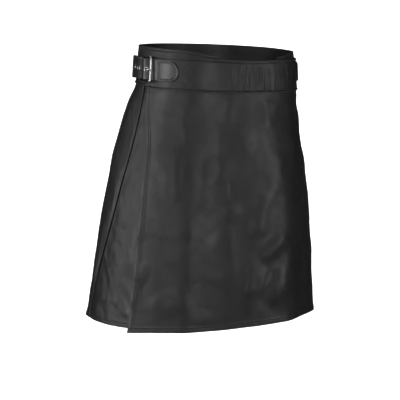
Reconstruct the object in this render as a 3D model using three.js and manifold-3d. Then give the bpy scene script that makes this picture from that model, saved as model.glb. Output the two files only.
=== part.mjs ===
// A wrap kilt of black leather in its worn, hollow form: a flat front apron over an inner wrap
// with knife pleats at the back, two waistbands, and a strap and buckle on each side.
// Millimetres. +Z is up, the front faces -Y and the wearer's right is -X.
// The origin is the middle of the waist ring, half way up the waistband.
import * as THREE from 'three';
import { mergeVertices } from 'three/addons/utils/BufferGeometryUtils.js';
import Module from 'manifold-3d';

const wasm = await Module();
wasm.setup();

// Leather and seams.
const PANEL_WALL = 1.4;
const BAND_WALL = 1.7;
const GAP = 0.3;
const LAYER = PANEL_WALL + GAP;
const TUCK = 9;
const HANG_GAP = 0.6;

// The inner form of the garment at a few levels: half width at its widest line, depth in front of
// the origin, how far behind the origin the widest line lies, the depth behind that line, and how
// square the front half is (2 is an ellipse).
const FORM = [
  { level: 60, side: 137, front: 107.5, widest: 0, back: 100.5, square: 2.8 },
  { level: 30, side: 140.5, front: 109, widest: 0, back: 101.5, square: 2.7 },
  { level: -30, side: 148.5, front: 113, widest: 0, back: 105, square: 2.4 },
  { level: -60, side: 156.5, front: 116, widest: 9, back: 111, square: 2.27 },
  { level: -120, side: 172, front: 121, widest: 20, back: 119, square: 2.23 },
  { level: -175, side: 183.5, front: 126, widest: 26, back: 124.5, square: 2.23 },
  { level: -250, side: 195.5, front: 130.5, widest: 35, back: 131, square: 2.23 },
  { level: -330, side: 204.5, front: 132.5, widest: 43, back: 136, square: 2.23 },
  { level: -400, side: 211, front: 132.5, widest: 49, back: 141, square: 2.23 },
  { level: -460, side: 218, front: 130.5, widest: 53, back: 145, square: 2.23 },
  { level: -490, side: 221.5, front: 129.5, widest: 55, back: 147, square: 2.23 },
];
const SQUARE_BACK = 2.05;
// The waist slopes down to the front; the slope fades out towards the hem.
const WAIST_SLOPE = 0.09;
const SLOPE_ENDS = -330;

// Edges measured along the form from the centre front: the free edge of the apron and the
// folded edge of the first pleat.
const EDGES = [
  { level: 60, apron: 194, fold: 209 },
  { level: -28, apron: 194, fold: 209 },
  { level: -60, apron: 196, fold: 213 },
  { level: -138, apron: 199, fold: 235 },
  { level: -192, apron: 208, fold: 257 },
  { level: -250, apron: 215, fold: 279 },
  { level: -340, apron: 226, fold: 317 },
  { level: -400, apron: 232.5, fold: 342 },
  { level: -460, apron: 239, fold: 363 },
];

// Soft hanging folds: where along the form, where they start and are full, how wide and how high.
const SWAYS = [
  { along: -120, drift: -14, starts: -70, full: -330, width: 26, height: 3.2 },
  { along: -38, drift: 6, starts: -60, full: -300, width: 24, height: -2.6 },
  { along: 42, drift: 22, starts: -50, full: -280, width: 28, height: 3.6 },
  { along: 118, drift: 10, starts: -90, full: -350, width: 30, height: -2.6 },
  { along: 176, drift: 18, starts: -120, full: -400, width: 26, height: 2.4 },
  { along: -186, drift: -22, starts: -140, full: -420, width: 22, height: -1.8 },
];

// Levels of the edges.
const APRON_BAND_TOP = 30;
const APRON_BAND_FOOT = -28;
const FRONT_DIP = 2.5;
const WRAP_BAND_TOP = 42;
const WRAP_BAND_END_TOP = 34.5;
const WRAP_BAND_FOOT = -25;
const WRAP_FRONT_END = 60;
const APRON_HEM = -452;
const APRON_CORNER_DROP = 6;
const WRAP_HEM = -450;

// Pleats.
const PLEATS_EACH_SIDE = 3;
const BACK_PANEL_SHARE = 0.65;
const RETURN_TOP = 22;
const RETURN_HEM = 30;
const FOLD_LIFT = 3;
const DIP_RUN = 14;
const NOSE = 3;

// How far out each layer lies from the form.
const PLEAT_STACK = 2 * LAYER;
const SIDE_OUT = PLEAT_STACK;
const WRAP_BAND_OUT = SIDE_OUT + LAYER;
const APRON_TOP_OUT = WRAP_BAND_OUT + BAND_WALL + HANG_GAP;
const APRON_OUT = SIDE_OUT + PANEL_WALL + HANG_GAP;
const APRON_LEAVES = -30;
const APRON_SETTLES = -95;
const APRON_BAND_OUT = APRON_TOP_OUT + LAYER;
const APRON_FACE = APRON_BAND_OUT + BAND_WALL;
const WRAP_FACE = WRAP_BAND_OUT + BAND_WALL;

// Strap, buckle, chape and keeper, all centred on one level.
const STRAP_LEVEL = 5;
const STRAP_WIDTH = 35.6;
const STRAP_WALL = 2.4;
const STRAP_GAP = 0.4;
const ROOT_START = 131;
const TIP_END = 261;
const TIP_POINT = 9;
const WIRE = 3.4;
const BAR_AT = 177;
const HINGE_AT = 211;
const BUCKLE_HEIGHT = 43.4;
const BUCKLE_LEAN = 0.08;
const FRAME_RISE = 0.4;
const CHAPE_WIDTH = 34;
const CHAPE_WALL = 1.8;
const CHAPE_END = 257;
const CHAPE_TOP_END = 228;
const SLOT_WIDTH = 4.4;
const PRONG_THICK = 2.3;
const EYELET_FIRST = 186.5;
const EYELET_STEP = 20;
const EYELETS = 4;
const EYELET_R = 4.2;
const EYELET_HOLE_R = 2.7;
const EYELET_RISE = 0.8;
const KEEPER_AT = 237;
const KEEPER_WIDE = 9;
const KEEPER_WALL = 1.5;

// Reads a column of a table between its rows with a smooth curve. The key column rises or falls
// all the way down the table.
function readBy(key, table, name, place) {
  const length = (i) => table[i + 1][key] - table[i][key];
  const chord = (i) => (table[i + 1][name] - table[i][name]) / length(i);
  let k = 0;
  while (k < table.length - 2 && (place - table[k + 1][key]) * length(k) > 0) {
    k += 1;
  }
  const slope = (i) => {
    if (i === 0) {
      return chord(0);
    }
    if (i === table.length - 1) {
      return chord(i - 1);
    }
    const before = length(i - 1);
    const after = length(i);
    return (chord(i - 1) * after + chord(i) * before) / (before + after);
  };
  const h = length(k);
  const t = (place - table[k][key]) / h;
  const a = table[k][name];
  const b = table[k + 1][name];
  const rise = t * t * (3 - 2 * t);
  return a * (1 - rise) + b * rise
    + h * slope(k) * t * (1 - t) * (1 - t) - h * slope(k + 1) * t * t * (1 - t);
}

function read(table, name, level) {
  return readBy('level', table, name, level);
}

function ease(t) {
  const c = Math.min(1, Math.max(0, t));
  return c * c * (3 - 2 * c);
}

function mix(a, b, t) {
  return a + (b - a) * t;
}

// A point of the form at an angle about its widest line: a rounded oval, fuller than an ellipse.
function formPoint(angle, level) {
  const side = read(FORM, 'side', level);
  const widest = read(FORM, 'widest', level);
  const ahead = Math.cos(angle) >= 0;
  const depth = ahead ? read(FORM, 'front', level) + widest : read(FORM, 'back', level);
  const n = ahead ? read(FORM, 'square', level) : SQUARE_BACK;
  const s = Math.abs(Math.sin(angle)) / side;
  const c = Math.abs(Math.cos(angle)) / depth;
  const r = (s ** n + c ** n) ** (-1 / n);
  return [r * Math.sin(angle), widest - r * Math.cos(angle)];
}

// Angles for equal steps along the form, kept for every fifth millimetre of level.
const ANGLE_STEPS = 360;
const LENGTH_STEP = 4;
const LEVEL_STEP = 5;
const ringCache = new Map();

function ring(index) {
  if (ringCache.has(index)) {
    return ringCache.get(index);
  }
  const level = index * LEVEL_STEP;
  const lengths = [0];
  let last = formPoint(0, level);
  for (let i = 1; i <= ANGLE_STEPS; i += 1) {
    const next = formPoint(Math.PI * i / ANGLE_STEPS, level);
    lengths.push(lengths[i - 1] + Math.hypot(next[0] - last[0], next[1] - last[1]));
    last = next;
  }
  const half = lengths[ANGLE_STEPS];
  const angles = [];
  let k = 0;
  for (let s = 0; s <= half + 100; s += LENGTH_STEP) {
    while (k < ANGLE_STEPS - 1 && lengths[k + 1] < s) {
      k += 1;
    }
    const t = (s - lengths[k]) / (lengths[k + 1] - lengths[k]);
    angles.push(Math.PI * (k + t) / ANGLE_STEPS);
  }
  const made = { half, angles };
  ringCache.set(index, made);
  return made;
}

function halfGirth(level) {
  const i = Math.floor(level / LEVEL_STEP);
  return mix(ring(i).half, ring(i + 1).half, level / LEVEL_STEP - i);
}

function angleAt(along, level) {
  const i = Math.floor(level / LEVEL_STEP);
  const s = Math.abs(along) / LENGTH_STEP;
  const k = Math.floor(s);
  const onRing = (made) => mix(made.angles[k], made.angles[k + 1], s - k);
  const angle = mix(onRing(ring(i)), onRing(ring(i + 1)), level / LEVEL_STEP - i);
  return Math.sign(along) * angle;
}

function sway(along, level) {
  let out = 0;
  for (const fold of SWAYS) {
    const grown = ease((fold.starts - level) / (fold.starts - fold.full));
    const off = (along - fold.along - fold.drift * grown) / fold.width;
    out += fold.height * grown * Math.exp(-off * off);
  }
  return out;
}

// The place of a point given along the form, by level and out from the form.
function place(along, level, out) {
  const angle = angleAt(along, level);
  const step = 1e-3;
  const [x, y] = formPoint(angle, level);
  const ahead = formPoint(angle + step, level);
  const behind = formPoint(angle - step, level);
  const tx = ahead[0] - behind[0];
  const ty = ahead[1] - behind[1];
  const length = Math.hypot(tx, ty);
  const reach = out + sway(along, level);
  const px = x + ty / length * reach;
  const py = y - tx / length * reach;
  const slope = WAIST_SLOPE * ease((level - SLOPE_ENDS) / -(SLOPE_ENDS - APRON_BAND_FOOT));
  return new THREE.Vector3(px, py, level + slope * py);
}

// A geometry from points and triangles, turned outward side out.
function closedMesh(points, faces) {
  const geometry = new THREE.BufferGeometry();
  geometry.setAttribute('position', new THREE.Float32BufferAttribute(points.flatMap((p) => [p.x, p.y, p.z]), 3));
  geometry.setIndex(faces.flat());
  let volume = 0;
  for (const [a, b, c] of faces) {
    volume += points[a].dot(new THREE.Vector3().crossVectors(points[b], points[c]));
  }
  if (volume < 0) {
    geometry.setIndex(faces.flatMap(([a, b, c]) => [a, c, b]));
  }
  return geometry;
}

// A wall: at each station a line is drawn in a section, thickened to both sides, and set in
// place. A closed line gives a loop, such as a keeper. Faces split along the same diagonal in
// walls that lie on each other: the one that runs down and away from the centre front.
function wall({ stations, line, thickness, spot, loop = false, fromFront = Math.abs }) {
  const points = [];
  let count = 0;
  let away = [];
  for (const station of stations) {
    const middle = line(station);
    count = middle.length;
    away = middle.map(([p]) => fromFront(p, station));
    for (const side of [-1, 1]) {
      middle.forEach(([p, q], i) => {
        const before = middle[loop ? (i + count - 1) % count : Math.max(0, i - 1)];
        const after = middle[loop ? (i + 1) % count : Math.min(count - 1, i + 1)];
        const dp = after[0] - before[0];
        const dq = after[1] - before[1];
        const size = Math.hypot(dp, dq);
        const reach = side * thickness / 2;
        points.push(spot(station, p - dq / size * reach, q + dp / size * reach));
      });
    }
  }
  const faces = [];
  const at = (row, side, i) => (row * 2 + side) * count + i % count;
  const quad = (a, b, c, d) => faces.push([a, b, c], [a, c, d]);
  const spans = loop ? count : count - 1;
  const lastRow = stations.length - 1;
  for (let row = 0; row < lastRow; row += 1) {
    for (let i = 0; i < spans; i += 1) {
      for (const side of [0, 1]) {
        const corners = [at(row, side, i), at(row, side, i + 1), at(row + 1, side, i + 1), at(row + 1, side, i)];
        const turned = away[(i + 1) % count] < away[i] ? [...corners.slice(1), corners[0]] : corners;
        quad(...(side === 0 ? turned : [turned[0], turned[3], turned[2], turned[1]]));
      }
    }
    if (!loop) {
      quad(at(row, 1, 0), at(row, 0, 0), at(row + 1, 0, 0), at(row + 1, 1, 0));
      const end = count - 1;
      quad(at(row, 0, end), at(row, 1, end), at(row + 1, 1, end), at(row + 1, 0, end));
    }
  }
  for (let i = 0; i < spans; i += 1) {
    quad(at(0, 1, i), at(0, 1, i + 1), at(0, 0, i + 1), at(0, 0, i));
    quad(at(lastRow, 0, i), at(lastRow, 0, i + 1), at(lastRow, 1, i + 1), at(lastRow, 1, i));
  }
  return closedMesh(points, faces);
}

// A round bar along a row of points, closed on itself or with flat ends. The reference vector
// never lies along the path.
function bar({ path, radius, reference, sides = 8, loop = false }) {
  const points = [];
  const count = path.length;
  path.forEach((p, i) => {
    const before = path[loop ? (i + count - 1) % count : Math.max(0, i - 1)];
    const after = path[loop ? (i + 1) % count : Math.min(count - 1, i + 1)];
    const run = after.clone().sub(before).normalize();
    const u = reference.clone().addScaledVector(run, -reference.dot(run)).normalize();
    const v = new THREE.Vector3().crossVectors(run, u);
    const r = typeof radius === 'function' ? radius(i / (count - 1)) : radius;
    for (let k = 0; k < sides; k += 1) {
      const a = 2 * Math.PI * k / sides;
      points.push(p.clone().addScaledVector(u, r * Math.cos(a)).addScaledVector(v, r * Math.sin(a)));
    }
  });
  const faces = [];
  const at = (i, k) => (i % count) * sides + k % sides;
  const spans = loop ? count : count - 1;
  for (let i = 0; i < spans; i += 1) {
    for (let k = 0; k < sides; k += 1) {
      faces.push([at(i, k), at(i, k + 1), at(i + 1, k + 1)], [at(i, k), at(i + 1, k + 1), at(i + 1, k)]);
    }
  }
  if (!loop) {
    for (let k = 1; k < sides - 1; k += 1) {
      faces.push([at(0, 0), at(0, k + 1), at(0, k)]);
      faces.push([at(count - 1, 0), at(count - 1, k), at(count - 1, k + 1)]);
    }
  }
  return closedMesh(points, faces);
}

// Solids for cutting and joining.
function toSolid(geometry) {
  const bare = geometry.clone();
  bare.deleteAttribute('normal');
  bare.deleteAttribute('uv');
  const merged = mergeVertices(bare, 1e-4);
  return new wasm.Manifold(new wasm.Mesh({
    numProp: 3,
    vertProperties: new Float32Array(merged.attributes.position.array),
    triVerts: new Uint32Array(merged.index.array),
  }));
}

function fromSolid(solid) {
  const mesh = solid.getMesh();
  const geometry = new THREE.BufferGeometry();
  geometry.setAttribute('position', new THREE.Float32BufferAttribute(Array.from(mesh.vertProperties), 3));
  geometry.setIndex(Array.from(mesh.triVerts));
  return geometry;
}

const LEATHER = new THREE.MeshStandardMaterial({ color: 0x2b2a2b, roughness: 0.5, metalness: 0 });
const STRAP_LEATHER = new THREE.MeshStandardMaterial({ color: 0x242324, roughness: 0.45, metalness: 0 });
const STEEL = new THREE.MeshStandardMaterial({ color: 0xc9cacc, roughness: 0.2, metalness: 1 });

const group = new THREE.Group();

function add(name, geometry, material) {
  const mesh = new THREE.Mesh(geometry, material);
  mesh.name = name;
  group.add(mesh);
}

// Equal steps from a to b.
function steps(a, b, count) {
  return Array.from({ length: count + 1 }, (unused, i) => mix(a, b, i / count));
}

// Rows of the panels, close together where the form bends below the waistband.
const ROW_LEVELS = [-28, -45, -66, -98, -145, -210, -285, -368];
const APRON_COLUMNS = 40;
const BAND_ROWS = [0, 0.3, 0.62, 0.845, 1];
const SIDES = [
  { label: 'right', sign: -1 },
  { label: 'left', sign: 1 },
];

// Panels hang from under a band to a hem; a station is the share of the way down.
const panelTop = APRON_BAND_FOOT + TUCK;
const wrapLevel = (share) => mix(panelTop, WRAP_HEM, share);
const panelRows = [0, ...ROW_LEVELS.map((level) => (panelTop - level) / (panelTop - WRAP_HEM)), 1];
const apronHem = (along) => APRON_HEM - APRON_CORNER_DROP * (Math.abs(along) / 239) ** 4;

function addApron() {
  add('apron_panel', wall({
    stations: panelRows,
    line: (share) => {
      const level = mix(panelTop, APRON_HEM, share);
      const reach = read(EDGES, 'apron', level);
      const rise = ease((level - APRON_SETTLES) / (APRON_LEAVES - APRON_SETTLES));
      const out = mix(APRON_OUT, APRON_TOP_OUT, rise);
      return steps(-reach, reach, APRON_COLUMNS).map((along) => [along, out + PANEL_WALL / 2]);
    },
    thickness: PANEL_WALL,
    spot: (share, along, out) => place(along, mix(panelTop, apronHem(along), share), out),
  }), LEATHER);
}

function addApronBand() {
  const reach = read(EDGES, 'apron', APRON_BAND_TOP);
  const top = (along) => APRON_BAND_TOP - FRONT_DIP * Math.exp(-((along / 50) ** 2));
  add('apron_band', wall({
    stations: BAND_ROWS,
    line: () => steps(-reach, reach, APRON_COLUMNS).map((along) => [along, APRON_BAND_OUT + BAND_WALL / 2]),
    thickness: BAND_WALL,
    spot: (share, along, out) => place(along, mix(top(along), APRON_BAND_FOOT, share), out),
  }), LEATHER);
}

// The inner waistband runs from one front end round the back to the other.
function addWrapBand() {
  const columns = 64;
  const whole = (level) => 2 * halfGirth(level);
  const top = (along) => mix(WRAP_BAND_END_TOP, WRAP_BAND_TOP, ease((along - WRAP_FRONT_END) / 70));
  const signed = (run, level) => (run <= halfGirth(level) ? run : run - whole(level));
  add('wrap_band', wall({
    stations: BAND_ROWS,
    line: () => steps(WRAP_FRONT_END, whole(0) - WRAP_FRONT_END, columns)
      .map((along) => [along, WRAP_BAND_OUT + BAND_WALL / 2]),
    thickness: BAND_WALL,
    fromFront: (run) => Math.min(run, whole(0) - run),
    spot: (share, run, out) => {
      const scale = halfGirth(mix(WRAP_BAND_TOP, WRAP_BAND_FOOT, share)) / halfGirth(0);
      const along = signed(run * scale, mix(WRAP_BAND_TOP, WRAP_BAND_FOOT, share));
      return place(along, mix(top(Math.abs(along)), WRAP_BAND_FOOT, share), out);
    },
  }), LEATHER);
}

// Folded edges facing the front: the first is read from the table, the others share what is left.
function foldAt(index, level) {
  const first = read(EDGES, 'fold', level);
  const room = (halfGirth(level) - first) / (PLEATS_EACH_SIDE + BACK_PANEL_SHARE);
  return first + room * index;
}

function returnDepth(level) {
  return mix(RETURN_TOP, RETURN_HEM, (panelTop - level) / (panelTop - WRAP_HEM));
}

function foldLift(level) {
  return FOLD_LIFT * ease((panelTop - level) / (panelTop - WRAP_HEM));
}

// Half the height of the open fold at a pleat's front edge.
function foldTurn(level) {
  return (LAYER + foldLift(level)) / 2;
}

// The side panel runs from under the apron to the inner fold behind the first pleat.
function addSidePanels() {
  for (const { label, sign } of SIDES) {
    add(`side_panel_${label}`, wall({
      stations: panelRows,
      line: (share) => {
        const level = wrapLevel(share);
        const fold = foldAt(0, level);
        const run = [
          ...steps(WRAP_FRONT_END, fold - DIP_RUN, 9),
          ...steps(fold - DIP_RUN, fold - NOSE, 3).slice(1),
          fold + foldTurn(level),
          fold + returnDepth(level) / 2,
          fold + returnDepth(level),
        ];
        return run.map((along) => {
          const dip = SIDE_OUT * ease((fold - NOSE - along) / (DIP_RUN - NOSE));
          return [sign * along, dip + PANEL_WALL / 2];
        });
      },
      thickness: PANEL_WALL,
      spot: (share, along, out) => place(along, wrapLevel(share), out),
    }), LEATHER);
  }
}

// A pleat from its folded front edge: the face lies on top and sinks under the next fold, and
// the return runs back beneath it to the inner seam.
function pleatHead(fold, level) {
  const lift = foldLift(level);
  const deep = returnDepth(level);
  const half = PANEL_WALL / 2;
  const turn = foldTurn(level);
  const centre = LAYER + half + turn;
  const returned = [
    [fold + deep, LAYER + half],
    [fold + deep * 0.5, LAYER + half],
    [fold + turn, LAYER + half],
  ];
  const bend = [0.25, 0.5, 0.75].map((share) => {
    const a = Math.PI * share;
    return [fold + turn - turn * Math.sin(a), centre - turn * Math.cos(a)];
  });
  return [...returned, ...bend, [fold + turn, PLEAT_STACK + half + lift]];
}

function addPleats() {
  for (const { label, sign } of SIDES) {
    for (let i = 0; i < PLEATS_EACH_SIDE; i += 1) {
      add(`pleat_${i + 1}_${label}`, wall({
        stations: panelRows,
        line: (share) => {
          const level = wrapLevel(share);
          const fold = foldAt(i, level);
          const next = foldAt(i + 1, level);
          const deep = returnDepth(level);
          const top = PLEAT_STACK + PANEL_WALL / 2 + foldLift(level);
          const sink = (along) => mix(top, PANEL_WALL / 2, ease((along - fold - deep) / (next - 1 - fold - deep)));
          const face = [...steps(fold + deep, next - 1, 4), next + deep / 2, next + deep];
          const line = [...pleatHead(fold, level), ...face.map((along) => [along, sink(along)])];
          return line.map(([along, out]) => [sign * along, out]);
        },
        thickness: PANEL_WALL,
        spot: (share, along, out) => place(along, wrapLevel(share), out),
      }), LEATHER);
    }
  }
}

// The centre back is a box pleat: one panel with a folded edge and a return on both sides.
function addBackPanel() {
  add('back_panel', wall({
    stations: panelRows,
    line: (share) => {
      const level = wrapLevel(share);
      const fold = foldAt(PLEATS_EACH_SIDE, level);
      const whole = 2 * halfGirth(level);
      const top = PLEAT_STACK + PANEL_WALL / 2 + foldLift(level);
      const head = pleatHead(fold, level);
      const start = head[head.length - 1][0];
      const face = steps(start, whole - start, 8).slice(1, -1).map((along) => [along, top]);
      const far = head.map(([along, out]) => [whole - along, out]).reverse();
      return [...head, ...face, ...far];
    },
    thickness: PANEL_WALL,
    fromFront: (run, share) => Math.min(run, 2 * halfGirth(wrapLevel(share)) - run),
    spot: (share, run, out) => {
      const level = wrapLevel(share);
      const half = halfGirth(level);
      return place(run <= half ? run : run - 2 * half, level, out);
    },
  }), LEATHER);
}

// The strap's middle line, along the form and out from it: from its sewn root, under the outer
// bar, up to the prong's hole, over the hinge and down through the keeper.
const onApron = APRON_FACE + STRAP_GAP + STRAP_WALL / 2;
const onChape = WRAP_FACE + STRAP_GAP + CHAPE_WALL + GAP;
const throughKeeper = onChape + KEEPER_WALL + GAP + STRAP_WALL / 2;
const hingeOut = WRAP_FACE + STRAP_GAP + CHAPE_WALL + GAP + FRAME_RISE + WIRE / 2;
const barOut = APRON_FACE + STRAP_GAP + STRAP_WALL + STRAP_GAP + FRAME_RISE + WIRE / 2;
const barMiddle = barOut + (BUCKLE_HEIGHT - WIRE) / 2 * BUCKLE_LEAN;
const prongRing = WIRE / 2 + GAP + PRONG_THICK;
const overHinge = hingeOut + prongRing + GAP + STRAP_WALL / 2 + 0.3;
const STRAP_LINE = [
  { along: ROOT_START, out: onApron },
  { along: 145, out: onApron },
  { along: BAR_AT - 2, out: onApron },
  { along: BAR_AT, out: onApron },
  { along: BAR_AT + 3.5, out: onApron + 1 },
  { along: BAR_AT + 6.5, out: onApron + 3 },
  { along: EYELET_FIRST, out: onApron + 5.2 },
  { along: BAR_AT + 13, out: onApron + 7 },
  { along: HINGE_AT - 16, out: overHinge + 0.6 },
  { along: HINGE_AT - 8, out: overHinge + 0.5 },
  { along: HINGE_AT, out: overHinge },
  { along: HINGE_AT + 7, out: overHinge - 2.2 },
  { along: KEEPER_AT - 13, out: throughKeeper + 1.2 },
  { along: KEEPER_AT - 6, out: throughKeeper + 0.2 },
  { along: KEEPER_AT, out: throughKeeper },
  { along: KEEPER_AT + 8, out: throughKeeper },
  { along: TIP_END, out: throughKeeper - 0.6 },
];

function strapOut(along) {
  return readBy('along', STRAP_LINE, 'out', along);
}

// Half the strap's width near its rounded root and its blunt point.
function strapHalfWidth(along) {
  const half = STRAP_WIDTH / 2;
  const fromRoot = along - ROOT_START;
  const fromTip = TIP_END - along;
  if (fromRoot < half) {
    return Math.max(3, half * Math.sqrt(1 - (1 - fromRoot / half) ** 2.6));
  }
  if (fromTip < TIP_POINT) {
    return half * (0.45 + 0.55 * Math.sqrt(1 - (1 - fromTip / TIP_POINT) ** 2));
  }
  return half;
}

// Direction out from the band at a place, and the strap's own upward direction there.
function outward(along, level, out) {
  return place(along, level, out + 1).sub(place(along, level, out)).normalize();
}

function strapFrame(sign, along) {
  const middle = strapOut(along);
  const origin = place(sign * along, STRAP_LEVEL, middle);
  const ahead = place(sign * (along + 0.5), STRAP_LEVEL, strapOut(along + 0.5));
  const run = ahead.sub(origin).normalize();
  const above = place(sign * along, STRAP_LEVEL + EYELET_R, middle);
  const up = above.sub(place(sign * along, STRAP_LEVEL - EYELET_R, middle)).normalize();
  const normal = new THREE.Vector3().crossVectors(run, up).multiplyScalar(sign).normalize();
  if (normal.dot(outward(sign * along, STRAP_LEVEL, middle)) < 0) {
    normal.negate();
  }
  return { origin, normal };
}

function placedOn({ origin, normal }, geometry, lift) {
  const turn = new THREE.Quaternion().setFromUnitVectors(new THREE.Vector3(0, 1, 0), normal);
  geometry.applyQuaternion(turn);
  const spot = origin.clone().addScaledVector(normal, lift);
  geometry.translate(spot.x, spot.y, spot.z);
  return geometry;
}

const eyeletSpots = Array.from({ length: EYELETS }, (unused, i) => EYELET_FIRST + i * EYELET_STEP);

function addStraps() {
  const runs = [
    ...steps(ROOT_START, ROOT_START + STRAP_WIDTH / 2, 6),
    ...steps(ROOT_START + STRAP_WIDTH / 2, BAR_AT, 3).slice(1),
    ...steps(BAR_AT, TIP_END - TIP_POINT, 22).slice(1),
    ...steps(TIP_END - TIP_POINT, TIP_END, 3).slice(1),
  ];
  for (const { label, sign } of SIDES) {
    const body = wall({
      stations: runs,
      line: (along) => {
        const half = strapHalfWidth(along);
        return steps(-half, half, 2).map((across) => [STRAP_LEVEL + across, 0]);
      },
      thickness: STRAP_WALL,
      spot: (along, level, off) => {
        const step = 0.4;
        const rise = (strapOut(along + step) - strapOut(along - step)) / (2 * step);
        const tilt = Math.hypot(1, rise);
        return place(sign * (along - off * rise / tilt), level, strapOut(along) + off / tilt);
      },
    });
    let solid = toSolid(body);
    for (const along of eyeletSpots) {
      const drill = new THREE.CylinderGeometry(EYELET_HOLE_R, EYELET_HOLE_R, 12, 12);
      solid = solid.subtract(toSolid(placedOn(strapFrame(sign, along), drill, 0)));
    }
    add(`strap_${label}`, fromSolid(solid), STRAP_LEATHER);
  }
}

function addEyelets() {
  const profile = [
    [EYELET_HOLE_R, 0],
    [EYELET_R, 0],
    [EYELET_R, EYELET_RISE * 0.4],
    [(EYELET_R + EYELET_HOLE_R) / 2, EYELET_RISE],
    [EYELET_HOLE_R, EYELET_RISE * 0.4],
    [EYELET_HOLE_R, 0],
  ].map(([r, y]) => new THREE.Vector2(r, y));
  for (const { label, sign } of SIDES) {
    eyeletSpots.forEach((along, i) => {
      const washer = new THREE.LatheGeometry(profile, 12);
      washer.deleteAttribute('normal');
      washer.deleteAttribute('uv');
      const clean = fromSolid(toSolid(washer));
      const lift = STRAP_WALL / 2 + GAP;
      add(`eyelet_${i + 1}_${label}`, placedOn(strapFrame(sign, along), clean, lift), STEEL);
    });
  }
}

// The buckle's flat frame leans out at its foot, as it lies on the hip.
function buckleSpot(sign, along, across) {
  const share = (along - BAR_AT) / (HINGE_AT - BAR_AT);
  const fromTop = (BUCKLE_HEIGHT - WIRE) / 2 - across;
  const out = mix(barOut, hingeOut, share) + fromTop * BUCKLE_LEAN * (1 - share);
  return place(sign * along, STRAP_LEVEL + across, out);
}

function addBuckles() {
  const rail = BUCKLE_HEIGHT / 2 - WIRE / 2;
  const corner = 3;
  const outline = new THREE.Path();
  outline.moveTo(BAR_AT + corner, -rail);
  outline.lineTo(HINGE_AT - corner, -rail);
  outline.absarc(HINGE_AT - corner, -rail + corner, corner, -Math.PI / 2, 0, false);
  outline.lineTo(HINGE_AT, rail - corner);
  outline.absarc(HINGE_AT - corner, rail - corner, corner, 0, Math.PI / 2, false);
  outline.lineTo(BAR_AT + corner, rail);
  outline.absarc(BAR_AT + corner, rail - corner, corner, Math.PI / 2, Math.PI, false);
  outline.lineTo(BAR_AT, -rail + corner);
  outline.absarc(BAR_AT + corner, -rail + corner, corner, Math.PI, 1.5 * Math.PI, false);
  const spots = outline.getPoints(4);
  const unique = spots.filter((p, i) => i === 0 || p.distanceTo(spots[i - 1]) > 0.01);
  if (unique[0].distanceTo(unique[unique.length - 1]) < 0.01) {
    unique.pop();
  }
  for (const { label, sign } of SIDES) {
    const path = unique.map((p) => buckleSpot(sign, p.x, p.y));
    const reference = outward(sign * (BAR_AT + HINGE_AT) / 2, STRAP_LEVEL, barOut);
    add(`buckle_frame_${label}`, bar({ path, radius: WIRE / 2, reference, loop: true }), STEEL);
  }
}

// The prong turns on the hinge bar, comes up square through the strap's hole and rests on the
// outer bar.
function addProngs() {
  const half = PRONG_THICK / 2;
  const tipOut = barMiddle + WIRE / 2 + GAP + half;
  const ringR = WIRE / 2 + GAP + half;
  const eyeOut = strapOut(EYELET_FIRST);
  const stem = [
    [HINGE_AT - ringR - 0.2, hingeOut + 0.4],
    [HINGE_AT - 11, hingeOut + 1.4],
    [EYELET_FIRST + 7, eyeOut - 4.2],
    [EYELET_FIRST + 3.1, eyeOut - 3.4],
    [EYELET_FIRST + 0.9, eyeOut - 1.2],
    [EYELET_FIRST - 1.1, eyeOut + 1.8],
    [BAR_AT + 5.6, tipOut + 1.4],
    [BAR_AT + 1, tipOut + 0.4],
    [BAR_AT - 4, tipOut - 0.5],
  ];
  for (const { label, sign } of SIDES) {
    const up = new THREE.Vector3(0, 0, 1);
    const points = stem.map(([along, out]) => place(sign * along, STRAP_LEVEL, out));
    const path = new THREE.CatmullRomCurve3(points, false, 'centripetal').getPoints(22);
    const radius = (share) => half * (1 - 0.3 * share ** 3);
    const rod = bar({ path, radius, reference: up, sides: 6 });
    const loop = Array.from({ length: 16 }, (unused, i) => {
      const a = 2 * Math.PI * i / 16;
      return place(sign * (HINGE_AT + ringR * Math.cos(a)), STRAP_LEVEL, hingeOut + ringR * Math.sin(a));
    });
    const eye = bar({ path: loop, radius: half, reference: up, sides: 6, loop: true });
    add(`prong_${label}`, fromSolid(toSolid(rod).add(toSolid(eye))), STEEL);
  }
}

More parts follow.
